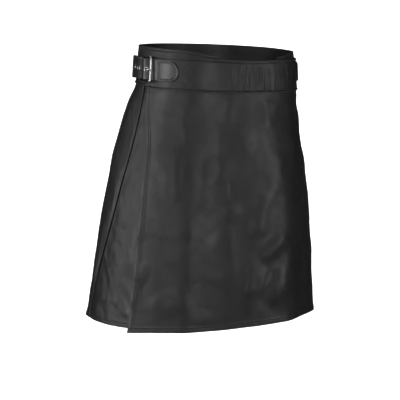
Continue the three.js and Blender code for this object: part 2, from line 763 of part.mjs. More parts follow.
// The chape is sewn to the inner waistband and folded round the hinge bar, slotted for the prong.
function addChapes() {
  const lower = WRAP_FACE + STRAP_GAP + CHAPE_WALL / 2;
  const upper = lower + CHAPE_WALL + GAP;
  const turn = WIRE / 2 + GAP + CHAPE_WALL / 2;
  const bend = steps(0.5, 1.5, 8).map((share) => {
    const a = Math.PI * share;
    return [HINGE_AT + turn * Math.cos(a), hingeOut + turn * Math.sin(a)];
  });
  const section = [
    [CHAPE_TOP_END, upper],
    [CHAPE_TOP_END - 6, upper + 0.2],
    [HINGE_AT + 6, hingeOut + turn - 0.9],
    ...bend,
    ...steps(HINGE_AT + 7, CHAPE_END, 5).map((along) => [along, lower]),
  ];
  for (const { label, sign } of SIDES) {
    const body = wall({
      stations: steps(STRAP_LEVEL - CHAPE_WIDTH / 2, STRAP_LEVEL + CHAPE_WIDTH / 2, 2),
      line: () => section.map(([along, out]) => [sign * along, out]),
      thickness: CHAPE_WALL,
      spot: (level, along, out) => place(along, level, out),
    });
    const slotStart = HINGE_AT - turn - CHAPE_WALL;
    const slotEnd = HINGE_AT + turn + CHAPE_WALL + 1;
    const slot = wall({
      stations: [STRAP_LEVEL - SLOT_WIDTH / 2, STRAP_LEVEL + SLOT_WIDTH / 2],
      line: () => steps(slotStart, slotEnd, 4).map((along) => [sign * along, hingeOut]),
      thickness: 2 * (turn + CHAPE_WALL),
      spot: (level, along, out) => place(along, level, Math.max(out, WRAP_FACE + GAP / 2)),
    });
    add(`chape_${label}`, fromSolid(toSolid(body).subtract(toSolid(slot))), STRAP_LEATHER);
  }
}

// The keeper is a closed leather loop round the strap, standing on the chape.
function addKeepers() {
  const halfLevel = STRAP_WIDTH / 2 + GAP + KEEPER_WALL / 2;
  const low = onChape + KEEPER_WALL / 2;
  const high = throughKeeper + STRAP_WALL / 2 + GAP + KEEPER_WALL / 2;
  const round = 0.9;
  const corners = [
    [-halfLevel + round, low], [0, low], [halfLevel - round, low],
    [halfLevel, low + round], [halfLevel, high - round],
    [halfLevel - round, high], [0, high], [-halfLevel + round, high],
    [-halfLevel, high - round], [-halfLevel, low + round],
  ];
  for (const { label, sign } of SIDES) {
    add(`keeper_${label}`, wall({
      stations: steps(KEEPER_AT - KEEPER_WIDE / 2, KEEPER_AT + KEEPER_WIDE / 2, 2),
      line: () => corners.map(([across, out]) => [STRAP_LEVEL + across, out]),
      thickness: KEEPER_WALL,
      spot: (along, level, out) => place(sign * along, level, out),
      loop: true,
    }), STRAP_LEATHER);
  }
}

addApron();
addApronBand();
addWrapBand();
addSidePanels();
addPleats();
addBackPanel();
addStraps();
addEyelets();
addBuckles();
addProngs();
addChapes();
addKeepers();

export default group;
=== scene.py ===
"""The looks of a black leather wrap kilt, built around its fixed frame.

Each leather piece is worked out in millimetres in three measures: along, the way round the inner
form from the centre front towards the wearer's left; level, the height; and out, the distance
outward from the form. place() turns them into the frame's own axes.
"""

import bmesh
import bpy
import numpy as np
from bpy.props import FloatProperty, PointerProperty, StringProperty
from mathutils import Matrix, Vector


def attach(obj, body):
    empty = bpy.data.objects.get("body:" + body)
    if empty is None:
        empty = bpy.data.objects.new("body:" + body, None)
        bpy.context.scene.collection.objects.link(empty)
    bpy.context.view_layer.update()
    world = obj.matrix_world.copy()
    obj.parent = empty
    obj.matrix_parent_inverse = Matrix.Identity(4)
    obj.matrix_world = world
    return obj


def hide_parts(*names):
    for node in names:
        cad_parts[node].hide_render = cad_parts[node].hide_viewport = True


bl_info = {
    "name": "Leather kilt",
    "version": (1, 0, 0),
    "blender": (4, 5, 0),
    "location": "3D View > Sidebar > Kilt",
    "description": "Builds a black leather wrap kilt with its straps, buckles and stitching",
    "category": "Object",
}

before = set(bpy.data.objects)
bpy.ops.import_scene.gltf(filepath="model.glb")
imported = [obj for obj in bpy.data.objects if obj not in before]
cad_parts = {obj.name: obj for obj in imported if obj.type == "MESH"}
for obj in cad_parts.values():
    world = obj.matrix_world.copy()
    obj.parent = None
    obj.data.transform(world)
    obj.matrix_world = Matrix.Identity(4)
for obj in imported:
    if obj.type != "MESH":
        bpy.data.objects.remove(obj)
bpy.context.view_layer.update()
MM = 1000.0


def columns(names, rows):
    """A short table as its named columns."""
    return dict(zip(names.split(), np.array(rows, float).T))


# The inner form at a few levels: half width, depth in front of the origin, how far behind the
# origin the widest line lies, the depth behind that line, and how square the front half is.
FORM = columns("level side front widest back square", [
    (60, 137, 107.5, 0, 100.5, 2.8),
    (30, 140.5, 109, 0, 101.5, 2.7),
    (-30, 148.5, 113, 0, 105, 2.4),
    (-60, 156.5, 116, 9, 111, 2.27),
    (-120, 172, 121, 20, 119, 2.23),
    (-175, 183.5, 126, 26, 124.5, 2.23),
    (-250, 195.5, 130.5, 35, 131, 2.23),
    (-330, 204.5, 132.5, 43, 136, 2.23),
    (-400, 211, 132.5, 49, 141, 2.23),
    (-460, 218, 130.5, 53, 145, 2.23),
    (-490, 221.5, 129.5, 55, 147, 2.23),
])
SQUARE_BACK = 2.05
WAIST_SLOPE = 0.09
SLOPE_ENDS = -330

# The free edge of the apron and the folded edge of the first pleat.
EDGES = columns("level apron fold", [
    (60, 194, 209),
    (-28, 194, 209),
    (-60, 196, 213),
    (-138, 199, 235),
    (-192, 208, 257),
    (-250, 215, 279),
    (-340, 226, 317),
    (-400, 232.5, 342),
    (-460, 239, 363),
])

# Hanging folds that every layer shares.
SWAYS = columns("along drift starts full width height", [
    (-120, -14, -70, -330, 26, 3.2),
    (-38, 6, -60, -300, 24, -2.6),
    (42, 22, -50, -280, 28, 3.6),
    (118, 10, -90, -350, 30, -2.6),
    (176, 18, -120, -400, 26, 2.4),
    (-186, -22, -140, -420, 22, -1.8),
])

# Layers, out from the form, and the levels of the edges.
GAP = 0.3
HANG_GAP = 0.6
LAYER = 1.7
PLEAT_STACK = 2 * LAYER
WRAP_BAND_OUT = PLEAT_STACK + LAYER
TUCK = 9
APRON_BAND_TOP = 30
APRON_BAND_FOOT = -28
FRONT_DIP = 2.5
WRAP_BAND_TOP = 42
WRAP_BAND_END_TOP = 34.5
WRAP_BAND_FOOT = -25
WRAP_FRONT_END = 60
APRON_HEM = -452
APRON_CORNER_DROP = 6
WRAP_HEM = -450
APRON_LEAVES = -30
APRON_SETTLES = -95
PANEL_TOP = APRON_BAND_FOOT + TUCK

# Pleats.
PLEATS_EACH_SIDE = 3
BACK_PANEL_SHARE = 0.65
RETURN_TOP = 22
RETURN_HEM = 30
FOLD_LIFT = 3
FOLD_PRESSED = 0.3
PUFF_RUN = 20
DIP_RUN_MOST = 60
SHOULDER = 0.8
SHOULDER_RUN = 3.5
SHOULDER_END = 0.5

# Strap and buckle.
STRAP_LEVEL = 5
STRAP_WIDTH = 35.6
STRAP_GAP = 0.4
ROOT_START = 131
ROOT_END = 162
TIP_END = 261
TIP_POINT = 9
BAR_AT = 177
HINGE_AT = 211
BUCKLE_HEIGHT = 43.4
BUCKLE_LEAN = 0.08
FRAME_RISE = 0.4
BAR_WIDER = 1.4
CHAPE_WIDTH = 34
CHAPE_END = 257
CHAPE_TOP_END = 228
SLOT_WIDTH = 4.4
EYELET_FIRST = 186.5
EYELET_STEP = 20
EYELETS = 4
EYELET_R = 4.2
EYELET_HOLE_R = 2.7
KEEPER_AT = 237
KEEPER_WIDE = 9

# Distances from a turned edge at which the mesh has a line: close at the rim, and again where
# the stitching pulls the leather down.
STITCH_INSET = 7.5
RIM_STEPS = (0, 0.04, 0.14, 0.32, 0.6, 1.1)
EDGE_STEPS = RIM_STEPS + (2, 3.4, 4.9, 5.9, 6.6, 7.1, STITCH_INSET, 7.9, 8.4, 9.1, 10.1, 11.6)
SEAM_LINE = EDGE_STEPS.index(STITCH_INSET)

SIDES = (("right", -1), ("left", 1))


def size_setting(name, description, default):
    """A size in metres that a user would change."""
    return FloatProperty(name=name, description=description, default=default, unit="LENGTH")


def colour_setting(name, description, default):
    """A colour as an sRGB hex value."""
    return StringProperty(name=name, description=description, default=default)


class KiltSizes(bpy.types.PropertyGroup):
    """Sizes of the leather, thread and metal that a user would change."""

    panel_wall: size_setting(
        "Panel leather", "Thickness of the apron, side panels and pleats", 0.0014)
    band_wall: size_setting("Band leather", "Thickness of the two waistbands", 0.0017)
    strap_wall: size_setting("Strap leather", "Thickness of the straps", 0.0024)
    chape_wall: size_setting(
        "Chape leather", "Thickness of the leather that holds the buckle", 0.0018)
    keeper_wall: size_setting("Keeper leather", "Thickness of the keeper loop", 0.0015)
    turn_swell: size_setting(
        "Turned edge", "How far a turned and sewn edge stands proud", 0.0008)
    stitch_groove: size_setting(
        "Stitch groove", "How deep the thread pulls the leather down", 0.0006)
    stitch_pitch: size_setting("Stitch pitch", "Distance from one stitch to the next", 0.0042)
    stitch_length: size_setting(
        "Stitch length", "Length of thread that shows in one stitch", 0.0034)
    thread_radius: size_setting("Thread radius", "Half the thickness of the thread", 0.00034)
    wire_radius: size_setting("Buckle wire", "Half the thickness of the buckle's wire", 0.0017)
    prong_thick: size_setting("Prong", "Thickness of the prong", 0.0023)


class KiltColours(bpy.types.PropertyGroup):
    """Colours as sRGB hex values."""

    leather: colour_setting("Leather", "Black of the garment leather", "#141314")
    # Painted highlight: this lighter colour stands partly for real wear on turned edges and partly
    # for the bright rim that light gives those edges.
    leather_worn: colour_setting(
        "Leather, rubbed", "Colour where the finish is thin, as on turned edges", "#242223")
    strap: colour_setting("Strap leather", "Black of the straps", "#131213")
    thread: colour_setting("Thread", "Black of the thread", "#222123")
    nickel: colour_setting("Nickel", "Plating of buckles and eyelets", "#d8d8d6")
    backdrop: colour_setting("Backdrop", "Floor and backdrop", "#fafafa")


def mm(name):
    """A size of the kilt in millimetres."""
    return getattr(bpy.context.scene.kilt_sizes, name) * MM


def ease(t):
    """Smooth step from 0 to 1: 3t squared less 2t cubed."""
    t = np.clip(t, 0, 1)
    return t * t * (3 - 2 * t)


def mix(a, b, t):
    """The value a share t of the way from a to b."""
    return a + (b - a) * t


def bell(offset, width):
    """A bell curve: 1 at its middle, and 1/e a width away."""
    return np.exp(-((offset / width) ** 2))


def read(table, key, name, at):
    """A column of a table between its rows: a cubic through each pair of rows, whose slopes are
    the neighbouring chords weighted by each other's length. The key rises or falls throughout."""
    keys, values = table[key], table[name]
    if keys[0] > keys[-1]:
        keys, values = keys[::-1], values[::-1]
    length = np.diff(keys)
    chord = np.diff(values) / length
    inner = (chord[:-1] * length[1:] + chord[1:] * length[:-1]) / (length[:-1] + length[1:])
    slope = np.concatenate((chord[:1], inner, chord[-1:]))
    at = np.asarray(at, float)
    k = np.clip(np.searchsorted(keys, at, side="right") - 1, 0, len(length) - 1)
    t = (at - keys[k]) / length[k]
    rise = t * t * (3 - 2 * t)
    bend = slope[k] * t * (1 - t) ** 2 - slope[k + 1] * t * t * (1 - t)
    return values[k] * (1 - rise) + values[k + 1] * rise + length[k] * bend


def form_point(angle, level):
    """A point of the inner form at an angle about its widest line: a superellipse whose radius is
    (|sin|/side)^n + (|cos|/depth)^n, to the power -1/n."""
    side = read(FORM, "level", "side", level)
    widest = read(FORM, "level", "widest", level)
    ahead = np.cos(angle) >= 0
    depth = np.where(ahead, read(FORM, "level", "front", level) + widest,
                     read(FORM, "level", "back", level))
    n = np.where(ahead, read(FORM, "level", "square", level), SQUARE_BACK)
    r = ((np.abs(np.sin(angle)) / side) ** n + (np.abs(np.cos(angle)) / depth) ** n) ** (-1 / n)
    return r * np.sin(angle), widest - r * np.cos(angle)


# Angles for equal steps along the form at equal steps of level, from the ring's running length.
ALONG_STEP = 4.0
LEVEL_STEP = 5.0
RING_LEVELS = np.arange(-500, 66, LEVEL_STEP)
RING_ANGLES = np.linspace(0, 1.2 * np.pi, 865)
RING_ALONG = np.arange(0, 700, ALONG_STEP)
ring_x, ring_y = form_point(RING_ANGLES[None, :], RING_LEVELS[:, None])
ring_steps = np.hypot(np.diff(ring_x, axis=1), np.diff(ring_y, axis=1))
ring_lengths = np.hstack([np.zeros((len(RING_LEVELS), 1)), np.cumsum(ring_steps, axis=1)])
HALF_GIRTHS = np.array([np.interp(np.pi, RING_ANGLES, row) for row in ring_lengths])
ANGLE_TABLE = np.array([np.interp(RING_ALONG, row, RING_ANGLES) for row in ring_lengths])


def half_girth(level):
    """Half the way round the form at a level."""
    return np.interp(level, RING_LEVELS, HALF_GIRTHS)


def angle_at(along, level):
    """The angle of a place along the form: straight interpolation in the table of angles."""
    column = np.abs(along) / ALONG_STEP
    row = (level - RING_LEVELS[0]) / LEVEL_STEP
    i = np.clip(row.astype(int), 0, len(RING_LEVELS) - 2)
    k = np.clip(column.astype(int), 0, len(RING_ALONG) - 2)
    lower = mix(ANGLE_TABLE[i, k], ANGLE_TABLE[i, k + 1], column - k)
    upper = mix(ANGLE_TABLE[i + 1, k], ANGLE_TABLE[i + 1, k + 1], column - k)
    return np.sign(along) * mix(lower, upper, row - i)


def sway(along, level):
    """The shared hanging folds: bell-shaped ridges and troughs that grow towards the hem."""
    out = np.zeros(np.shape(along))
    for at, drift, starts, full, width, height in zip(*SWAYS.values()):
        grown = ease((starts - level) / (starts - full))
        out = out + height * grown * bell(along - at - drift * grown, width)
    return out


def place(along, level, out):
    """A point in the frame, in millimetres: from the form's point at that angle, outward along
    the form's level normal by out and the sway, with the waist sloping down to the front."""
    along, level, out = np.broadcast_arrays(
        *(np.asarray(value, float) for value in (along, level, out)))
    nudge = 1e-3
    angle = angle_at(along, level)
    x, y = form_point(angle, level)
    x_ahead, y_ahead = form_point(angle + nudge, level)
    x_behind, y_behind = form_point(angle - nudge, level)
    run_x, run_y = x_ahead - x_behind, y_ahead - y_behind
    length = np.hypot(run_x, run_y)
    reach = out + sway(along, level)
    y = y - run_x / length * reach
    slope = WAIST_SLOPE * ease((level - SLOPE_ENDS) / (APRON_BAND_FOOT - SLOPE_ENDS))
    return np.stack([x + run_y / length * reach, y, level + slope * y], axis=-1)


def unit(vectors):
    """Vectors brought to length one."""
    return vectors / np.linalg.norm(vectors, axis=-1, keepdims=True)


def run_along(path):
    """The running length at each point of a path."""
    return np.concatenate(([0], np.cumsum(np.linalg.norm(np.diff(path, axis=0), axis=1))))


def read_path(points, run, at):
    """Points of a path at some running lengths, straight between its own."""
    return np.stack([np.interp(at, run, values) for values in points.T], axis=-1)


def through(points, count):
    """A smooth path of count points through a few points, read by the length along them."""
    points = np.asarray(points, float)
    run = run_along(points)
    table = {"run": run, "x": points[:, 0], "y": points[:, 1], "z": points[:, 2]}
    at = np.linspace(0, run[-1], count)
    return np.stack([read(table, "run", axis, at) for axis in "xyz"], axis=-1)


# Waves that add up to an uneven one: each shorter and weaker than the one before.
WAVES = 5
WAVE_SHORTER = 0.62
WAVE_WEAKER = 0.8
WAVE_DRAW = (0.85, 1.15)
WOBBLE_HEIGHT = 1.6
SWELLS = 14
SWELL_SHORTEST = 0.7
SWELL_RANGE = 0.9
SWELL_SPREAD = 3.2


def wobble(run, seed, longest):
    """An uneven wave between about -1 and 1: sines of falling length and drawn phase."""
    draw = np.random.default_rng(seed)
    lengths = longest * WAVE_SHORTER ** np.arange(WAVES) * draw.uniform(*WAVE_DRAW, WAVES)
    phases = draw.uniform(0, 2 * np.pi, WAVES)
    weights = WAVE_WEAKER ** np.arange(WAVES)
    waves = [w * np.sin(2 * np.pi * run / size + p) for w, size, p in zip(weights, lengths, phases)]
    return sum(waves) / weights.sum() * WOBBLE_HEIGHT


def unevenness(along, level, size, seed):
    """Soft dents and swells between about -1 and 1: level waves in drawn directions."""
    draw = np.random.default_rng(seed)
    total = np.zeros(np.shape(along))
    for turn, phase, stretch in draw.uniform(0, 1, (SWELLS, 3)):
        a = 2 * np.pi * turn
        length = size * (SWELL_SHORTEST + SWELL_RANGE * stretch)
        total = total + np.sin((along * np.cos(a) + level * np.sin(a)) * 2 * np.pi / length
                               + 2 * np.pi * phase)
    return total / SWELL_SPREAD


# Soft unevenness of each leather: height and size of its waves in millimetres, and their seeds.
SOFT = {
    "apron": ((0.7, 72, 11), (0.14, 30, 12)),
    "apron_band": ((0.22, 46, 31),),
    "wrap_band": ((0.2, 52, 41),),
    "side_panel": ((0.34, 40, 51), (0.2, 19, 52)),
    "pleat": ((0.8, 70, 61), (0.2, 24, 64)),
    "back_panel": ((0.9, 60, 91), (0.2, 24, 92)),
    "strap": ((0.12, 24, 71),),
}


# Seeds of the single uneven waves.
SEEDS = {"apron_side": 21, "apron_hem": 22, "band_foot": 32, "wrap_ripple": 42,
         "side_hem": 53, "pleat_slack": 66, "pleat_hem": 67, "back_hem": 93}


def softness(name, along, level, further=0):
    """A leather's soft unevenness; further moves its seeds on, for one of several alike."""
    return sum(height * unevenness(along, level, size, seed + further)
               for height, size, seed in SOFT[name])


# A crease grows from each end over a share of its length, and is partly open at the end itself.
CREASE_END = 0.3
CREASE_OPEN = 0.25


def creases(table, along, level):
    """Ridges and troughs that run from one place to another. Across its line each is a bell of
    its width; along it, it swells from both ends; bow bends the line to one side."""
    total = np.zeros(np.shape(along))
    for a0, l0, a1, l1, bow, width, height in zip(*table.values()):
        run_a, run_l = a1 - a0, l1 - l0
        length = np.hypot(run_a, run_l)
        t = ((along - a0) * run_a + (level - l0) * run_l) / length ** 2
        across = ((along - a0) * run_l - (level - l0) * run_a) / length
        across = across - bow * 4 * t * (1 - t)
        ends = ease(t / CREASE_END + CREASE_OPEN) * ease((1 - t) / CREASE_END + CREASE_OPEN)
        total = total + height * ends * bell(across, width)
    return total


def spread(length, count, near=EDGE_STEPS, far=None):
    """Distances from one edge to the other for each row: the near steps, count even steps
    between, and the far steps."""
    near = np.array(near)
    far = near if far is None else np.array(far)
    length = np.atleast_1d(length).astype(float)[:, None]
    share = np.linspace(0, 1, count + 1)[1:-1]
    middle = mix(near[-1], length - far[-1], share)
    return np.hstack([near + 0 * length, middle, length - far[::-1]])


def rim(distance, radius):
    """Share of the full thickness at a distance from an edge: a quarter of an ellipse."""
    t = np.clip(distance / radius, 0, 1)
    return np.sqrt(1 - (1 - t) ** 2)


# How far in from a cut edge each leather is rounded, and how far in it is painted lighter: partly
# real wear, partly a painted highlight on the edge's rim.
PANEL_ROUND = 0.8
PANEL_WEAR_AND_HIGHLIGHT = 1.1
BAND_ROUND = 0.9
BAND_BACK_ROUND = 0.5
BAND_WEAR_AND_HIGHLIGHT = 1.2
STRAP_ROUND = 1.0
CHAPE_ROUND = 0.8
KEEPER_ROUND = 0.6
STRAP_RUB = 0.7

# A turned edge ends a little beyond its stitching.
TURN_BEYOND = 1
TURN_FADE = 2.5
EDGE_GROOVE = 0.9
PUCKER_SIZE = 34
PUCKER_REACH = 6.5
SIDE_PUCKER = 0.22
HEM_PUCKER = 0.25


def wear_and_highlight_share(distance, reach):
    """Share of painted lightening at a distance from an edge: partly real wear, partly a painted
    highlight on the edge's rim.
    """
    return np.exp(-distance / reach)


def turned_edge(distance, swell, groove):
    """How far a turned edge stands out: level to beyond its stitching, with the stitch groove."""
    step = swell * (1 - ease((distance - STITCH_INSET - TURN_BEYOND) / TURN_FADE))
    return step - groove * bell(distance - STITCH_INSET, EDGE_GROOVE)


def seam_pucker(distance, run, seed):
    """Puckers along a sewn edge: an uneven wave that fades away from the stitching."""
    return wobble(run, seed, PUCKER_SIZE) * bell(distance - STITCH_INSET, PUCKER_REACH)


def block(start, end, count, last=False):
    """Equal steps between two columns of values, one row for each level."""
    start, end = np.broadcast_arrays(np.atleast_1d(start), np.atleast_1d(end))
    share = np.linspace(0, 1, count + 1)
    return mix(start[:, None], end[:, None], share if last else share[:-1])


def blocks(places, counts):
    """A section's columns through some places, with equal steps between each two."""
    parts = [block(start, end, count) for start, end, count in zip(places, places[1:], counts)]
    return np.hstack([*parts[:-1], block(*places[-2:], counts[-1], last=True)])


def stretches(table):
    """Places along a line from rows of start, end and number."""
    return np.concatenate([np.linspace(*row) for row in table])


def lifted(placed, along, level, out, amount):
    """Places a sheet whose line in each row's section is moved by an amount, square to itself."""
    run = np.gradient(along, axis=1)
    rise = np.gradient(out, axis=1)
    size = np.hypot(run, rise)
    return placed(along - rise / size * amount, level, out + run / size * amount)


def add_object(name, data):
    """A new object of the scene, at the origin."""
    item = bpy.data.objects.new(name, data)
    bpy.context.scene.collection.objects.link(item)
    return item


def make_object(name, points, faces, material, edge=None):
    """A smooth-shaded mesh object at the origin from points in millimetres."""
    mesh = bpy.data.meshes.new(name)
    mesh.from_pydata((points / MM).tolist(), [], faces.tolist())
    mesh.validate()
    mesh.polygons.foreach_set("use_smooth", np.ones(len(mesh.polygons), bool))
    if edge is not None:
        # The edge mask: edges painted lighter, partly for real wear and partly as a painted
        # highlight on their rims.
        mesh.attributes.new("edge_wear_and_highlight", "FLOAT", "POINT").data.foreach_set("value", edge)
    mesh.materials.append(material)
    return add_object(name, mesh)


def outward(points, faces):
    """The faces, turned round if the volume that they enclose comes out negative."""
    a, b, c = (points[faces[:, k]] for k in (0, 1, 2))
    volume = np.einsum("ij,ij->i", a, np.cross(b, c)).sum()
    if faces.shape[1] == 4:
        d = points[faces[:, 3]]
        volume += np.einsum("ij,ij->i", a, np.cross(c, d)).sum()
    return faces if volume > 0 else faces[:, ::-1]


def grid_faces(index):
    """The quads of a grid of vertex numbers."""
    corners = (index[:-1, :-1], index[:-1, 1:], index[1:, 1:], index[1:, :-1])
    return np.stack(corners, axis=-1).reshape(-1, 4)


def ring_numbers(rings, sides, closed=False):
    """Vertex numbers of rings in a row; closed, the last ring meets the first."""
    index = np.arange(rings * sides).reshape(rings, sides)
    index = np.hstack([index, index[:, :1]])
    return np.vstack([index, index[:1]]) if closed else index


def shell(name, inner, outer, material, edge, loop=False):
    """A closed sheet from two grids of points that meet along all four edges, or in a loop along
    its first and last rows only."""
    rows, count = outer.shape[:2]
    front = np.arange(rows * count).reshape(rows, count)
    back = front + rows * count
    for side in (np.s_[0, :], np.s_[-1, :]) + (() if loop else (np.s_[:, 0], np.s_[:, -1])):
        back[side] = front[side]
    if loop:
        front, back = (np.hstack([index, index[:, :1]]) for index in (front, back))
    points = np.concatenate([outer.reshape(-1, 3), inner.reshape(-1, 3)])
    # The edge mask for the leather's lighter edges: partly real wear, partly painted highlight.
    edge_light_mask = np.concatenate([edge.ravel(), edge.ravel()])
    faces = np.concatenate([grid_faces(front), grid_faces(back)[:, ::-1]])
    used, faces = np.unique(faces, return_inverse=True)
    points = points[used]
    faces = outward(points, faces.reshape(-1, 4))
    return make_object(name, points, faces, material, edge_light_mask[used])


CAP_RINGS = np.linspace(0.02, 1, 6)


def tube(name, path, radius, sides, reference, material, closed=False, widen=1.0):
    """A bar along a path: rings square to it, round or wider by a factor across the reference. It
    is joined in a loop, or its last rings shrink to small caps."""
    path, reference = np.asarray(path, float), np.asarray(reference, float)
    radius = np.broadcast_to(np.asarray(radius, float), (len(path),)).copy()
    if closed:
        run = unit(np.roll(path, -1, axis=0) - np.roll(path, 1, axis=0))
    else:
        first, last = unit(path[0] - path[1]), unit(path[-1] - path[-2])
        bulge = np.sqrt(1 - CAP_RINGS ** 2)
        start = path[0] + first * (radius[0] * bulge)[:, None]
        end = path[-1] + last * (radius[-1] * bulge[::-1])[:, None]
        path = np.concatenate([start[:-1], path, end[1:]])
        radius = np.concatenate([radius[0] * CAP_RINGS[:-1], radius,
                                 radius[-1] * CAP_RINGS[::-1][1:]])
        run = unit(np.gradient(path, axis=0))
    u = unit(reference - run * (run @ reference)[:, None])
    v = np.cross(run, u) * np.broadcast_to(widen, (len(path),))[:, None]
    a = np.linspace(0, 2 * np.pi, sides, endpoint=False)
    ring = np.cos(a)[None, :, None] * u[:, None] + np.sin(a)[None, :, None] * v[:, None]
    points = (path[:, None] + radius[..., None, None] * ring).reshape(-1, 3)
    faces = outward(points, grid_faces(ring_numbers(len(path), sides, closed)))
    piece = make_object(name, points, faces, material)
    if not closed:
        close_ends(piece)
    return piece


def close_ends(piece):
    """Fills the two small rings at the ends of a bar."""
    bm = bmesh.new()
    bm.from_mesh(piece.data)
    bmesh.ops.holes_fill(bm, edges=[e for e in bm.edges if e.is_boundary], sides=0)
    bm.to_mesh(piece.data)
    bm.free()


def colour(name):
    """A hex colour of the kilt as linear red, green, blue and alpha."""
    text = getattr(bpy.context.scene.kilt_colours, name).lstrip("#")
    srgb = np.array([int(text[k:k + 2], 16) for k in (0, 2, 4)]) / 255
    linear = np.where(srgb <= 0.04045, srgb / 12.92, ((srgb + 0.055) / 1.055) ** 2.4)
    return (*linear.tolist(), 1.0)


def add_node(tree, kind, values=(), links=(), **settings):
    """One node with its settings, the values of its sockets and the links that reach them."""
    node = tree.nodes.new(kind)
    for name, value in settings.items():
        setattr(node, name, value)
    for socket, value in dict(values).items():
        node.inputs[socket].default_value = value
    for socket, source in dict(links).items():
        tree.links.new(source, node.inputs[socket])
    return node


def new_material(name):
    """An empty material, its node tree and the Object coordinates that its patterns follow."""
    material = bpy.data.materials.new(name)
    material.use_nodes = True
    tree = material.node_tree
    tree.nodes.clear()
    return material, tree, add_node(tree, "ShaderNodeTexCoord").outputs["Object"]


def per_metre(size_mm):
    """Texture scale for a feature of a size in millimetres."""
    return MM / size_mm


def noise(tree, where, size_mm, detail=2.0):
    """Soft uneven patches of a size."""
    return add_node(tree, "ShaderNodeTexNoise", {"Scale": per_metre(size_mm), "Detail": detail},
                    {"Vector": where}).outputs["Fac"]


def between(tree, pattern, low, high):
    """The middle of a pattern's range spread from a low value to a high one."""
    return add_node(tree, "ShaderNodeMapRange",
                    {"From Min": 0.3, "From Max": 0.7, "To Min": low, "To Max": high},
                    {"Value": pattern}).outputs["Result"]


def bumps(tree, height, strength, depth, **under):
    """A normal that tilts with a pattern's height; under takes the normal that lies below it."""
    return add_node(tree, "ShaderNodeBump", {"Strength": strength, "Distance": depth},
                    {"Height": height, **under}).outputs["Normal"]


def finished(material, tree, values, links):
    """The material with its shader and its output."""
    shader = add_node(tree, "ShaderNodeBsdfPrincipled", values, links)
    add_node(tree, "ShaderNodeOutputMaterial", (), {"Surface": shader.outputs["BSDF"]})
    return material


def garment_leather():
    """Chrome-tanned cowhide, drum-dyed black, with a thin semi-matt finish: a fine pebble grain,
    soft broad highlights that wander with the hide's handling, and turned edges painted a shade
    lighter, partly for real wear and partly as a painted highlight on their rims."""
    material, tree, where = new_material("drum_dyed_cowhide")
    edge_lightening = add_node(tree, "ShaderNodeAttribute", attribute_name="edge_wear_and_highlight").outputs["Fac"]
    hide, blotch = noise(tree, where, 52, 3.0), noise(tree, where, 13)
    # The real pebbles are about 0.8 mm; they are drawn 1.4 mm wide, as coarse as they need to be.
    pebble = add_node(tree, "ShaderNodeTexVoronoi", {"Scale": per_metre(1.4), "Smoothness": 0.7},
                      {"Vector": where}, feature="SMOOTH_F1").outputs["Distance"]
    # Painted highlight: turned edges are mixed towards the lighter leather colour, partly for real
    # wear and partly for the bright rim of light on them.
    edge_lightening_amount = add_node(tree, "ShaderNodeMath", {1: 0.7}, {0: edge_lightening}, operation="MULTIPLY")
    shade = add_node(tree, "ShaderNodeMix", {"A": colour("leather"), "B": colour("leather_worn")},
                     {"Factor": edge_lightening_amount.outputs[0]}, data_type="RGBA")
    gloss = add_node(tree, "ShaderNodeMath", (), {
        0: between(tree, hide, 0.37, 0.48), 1: between(tree, blotch, -0.03, 0.04)},
        operation="ADD")
    dents = bumps(tree, blotch, 0.5, 0.0006)
    grain = bumps(tree, pebble, 0.35, 0.00012, Normal=dents)
    return finished(material, tree, {"IOR": 1.48, "Specular IOR Level": 0.5, "Coat Weight": 0.15,
                                     "Coat Roughness": 0.45},
                    {"Base Color": shade.outputs["Result"], "Roughness": gloss.outputs[0],
                     "Normal": grain})


def strap_leather():
    """Bridle leather, vegetable tanned and waxed: smoother and glossier than the garment hide,
    with shallow hair pores and dark burnished edges."""
    material, tree, where = new_material("waxed_bridle_leather")
    pores = add_node(tree, "ShaderNodeTexVoronoi", {"Scale": per_metre(1.6), "Randomness": 0.9},
                     {"Vector": where}).outputs["Distance"]
    return finished(material, tree,
                    {"Base Color": colour("strap"), "IOR": 1.5, "Specular IOR Level": 0.7,
                     "Coat Weight": 0.6, "Coat Roughness": 0.32},
                    {"Roughness": between(tree, noise(tree, where, 18, 3.0), 0.36, 0.46),
                     "Normal": bumps(tree, pores, 0.25, 0.0001)})


def bonded_thread():
    """Bonded polyester thread, twisted and lubricated: a small soft glint on each stitch."""
    material, tree, where = new_material("bonded_polyester_thread")
    return finished(material, tree, {"Base Color": colour("thread"), "Roughness": 0.42},
                    {"Normal": bumps(tree, noise(tree, where, 0.5), 0.4, 0.0001)})


def bright_nickel():
    """Bright nickel plate on polished steel: mirror-like, with faint wipe marks that soften
    parts of the reflection."""
    material, tree, where = new_material("bright_nickel_plate")
    return finished(material, tree, {"Base Color": colour("nickel"), "Metallic": 1.0},
                    {"Roughness": between(tree, noise(tree, where, 6, 4.0), 0.1, 0.22)})


BACKDROP_GLOW = 0.7


def painted_backdrop():
    """Seamless paper: pale, even and matt, lit from behind as in a light tent."""
    material, tree, where = new_material("seamless_paper")
    return finished(material, tree,
                    {"Base Color": colour("backdrop"), "Roughness": 0.95,
                     "Specular IOR Level": 0.1, "Emission Color": colour("backdrop"),
                     "Emission Strength": BACKDROP_GLOW},
                    {"Normal": bumps(tree, noise(tree, where, 4), 0.05, 0.0005)})


MATERIAL_MAKERS = {
    "panel_leather": garment_leather,
    "band_leather": garment_leather,
    "strap_leather": strap_leather,
    "nickel": bright_nickel,
    "thread": bonded_thread,
}
made_materials = {}


def finish_of(slot):
    """The material of a slot, made once."""
    maker = MATERIAL_MAKERS[slot]
    if maker not in made_materials:
        made_materials[maker] = maker()
    return made_materials[maker]


def fit(piece, slot, *nodes):
    """Rides a finished piece on the body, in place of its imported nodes."""
    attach(piece, "root")
    if nodes:
        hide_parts(*nodes)
    return piece


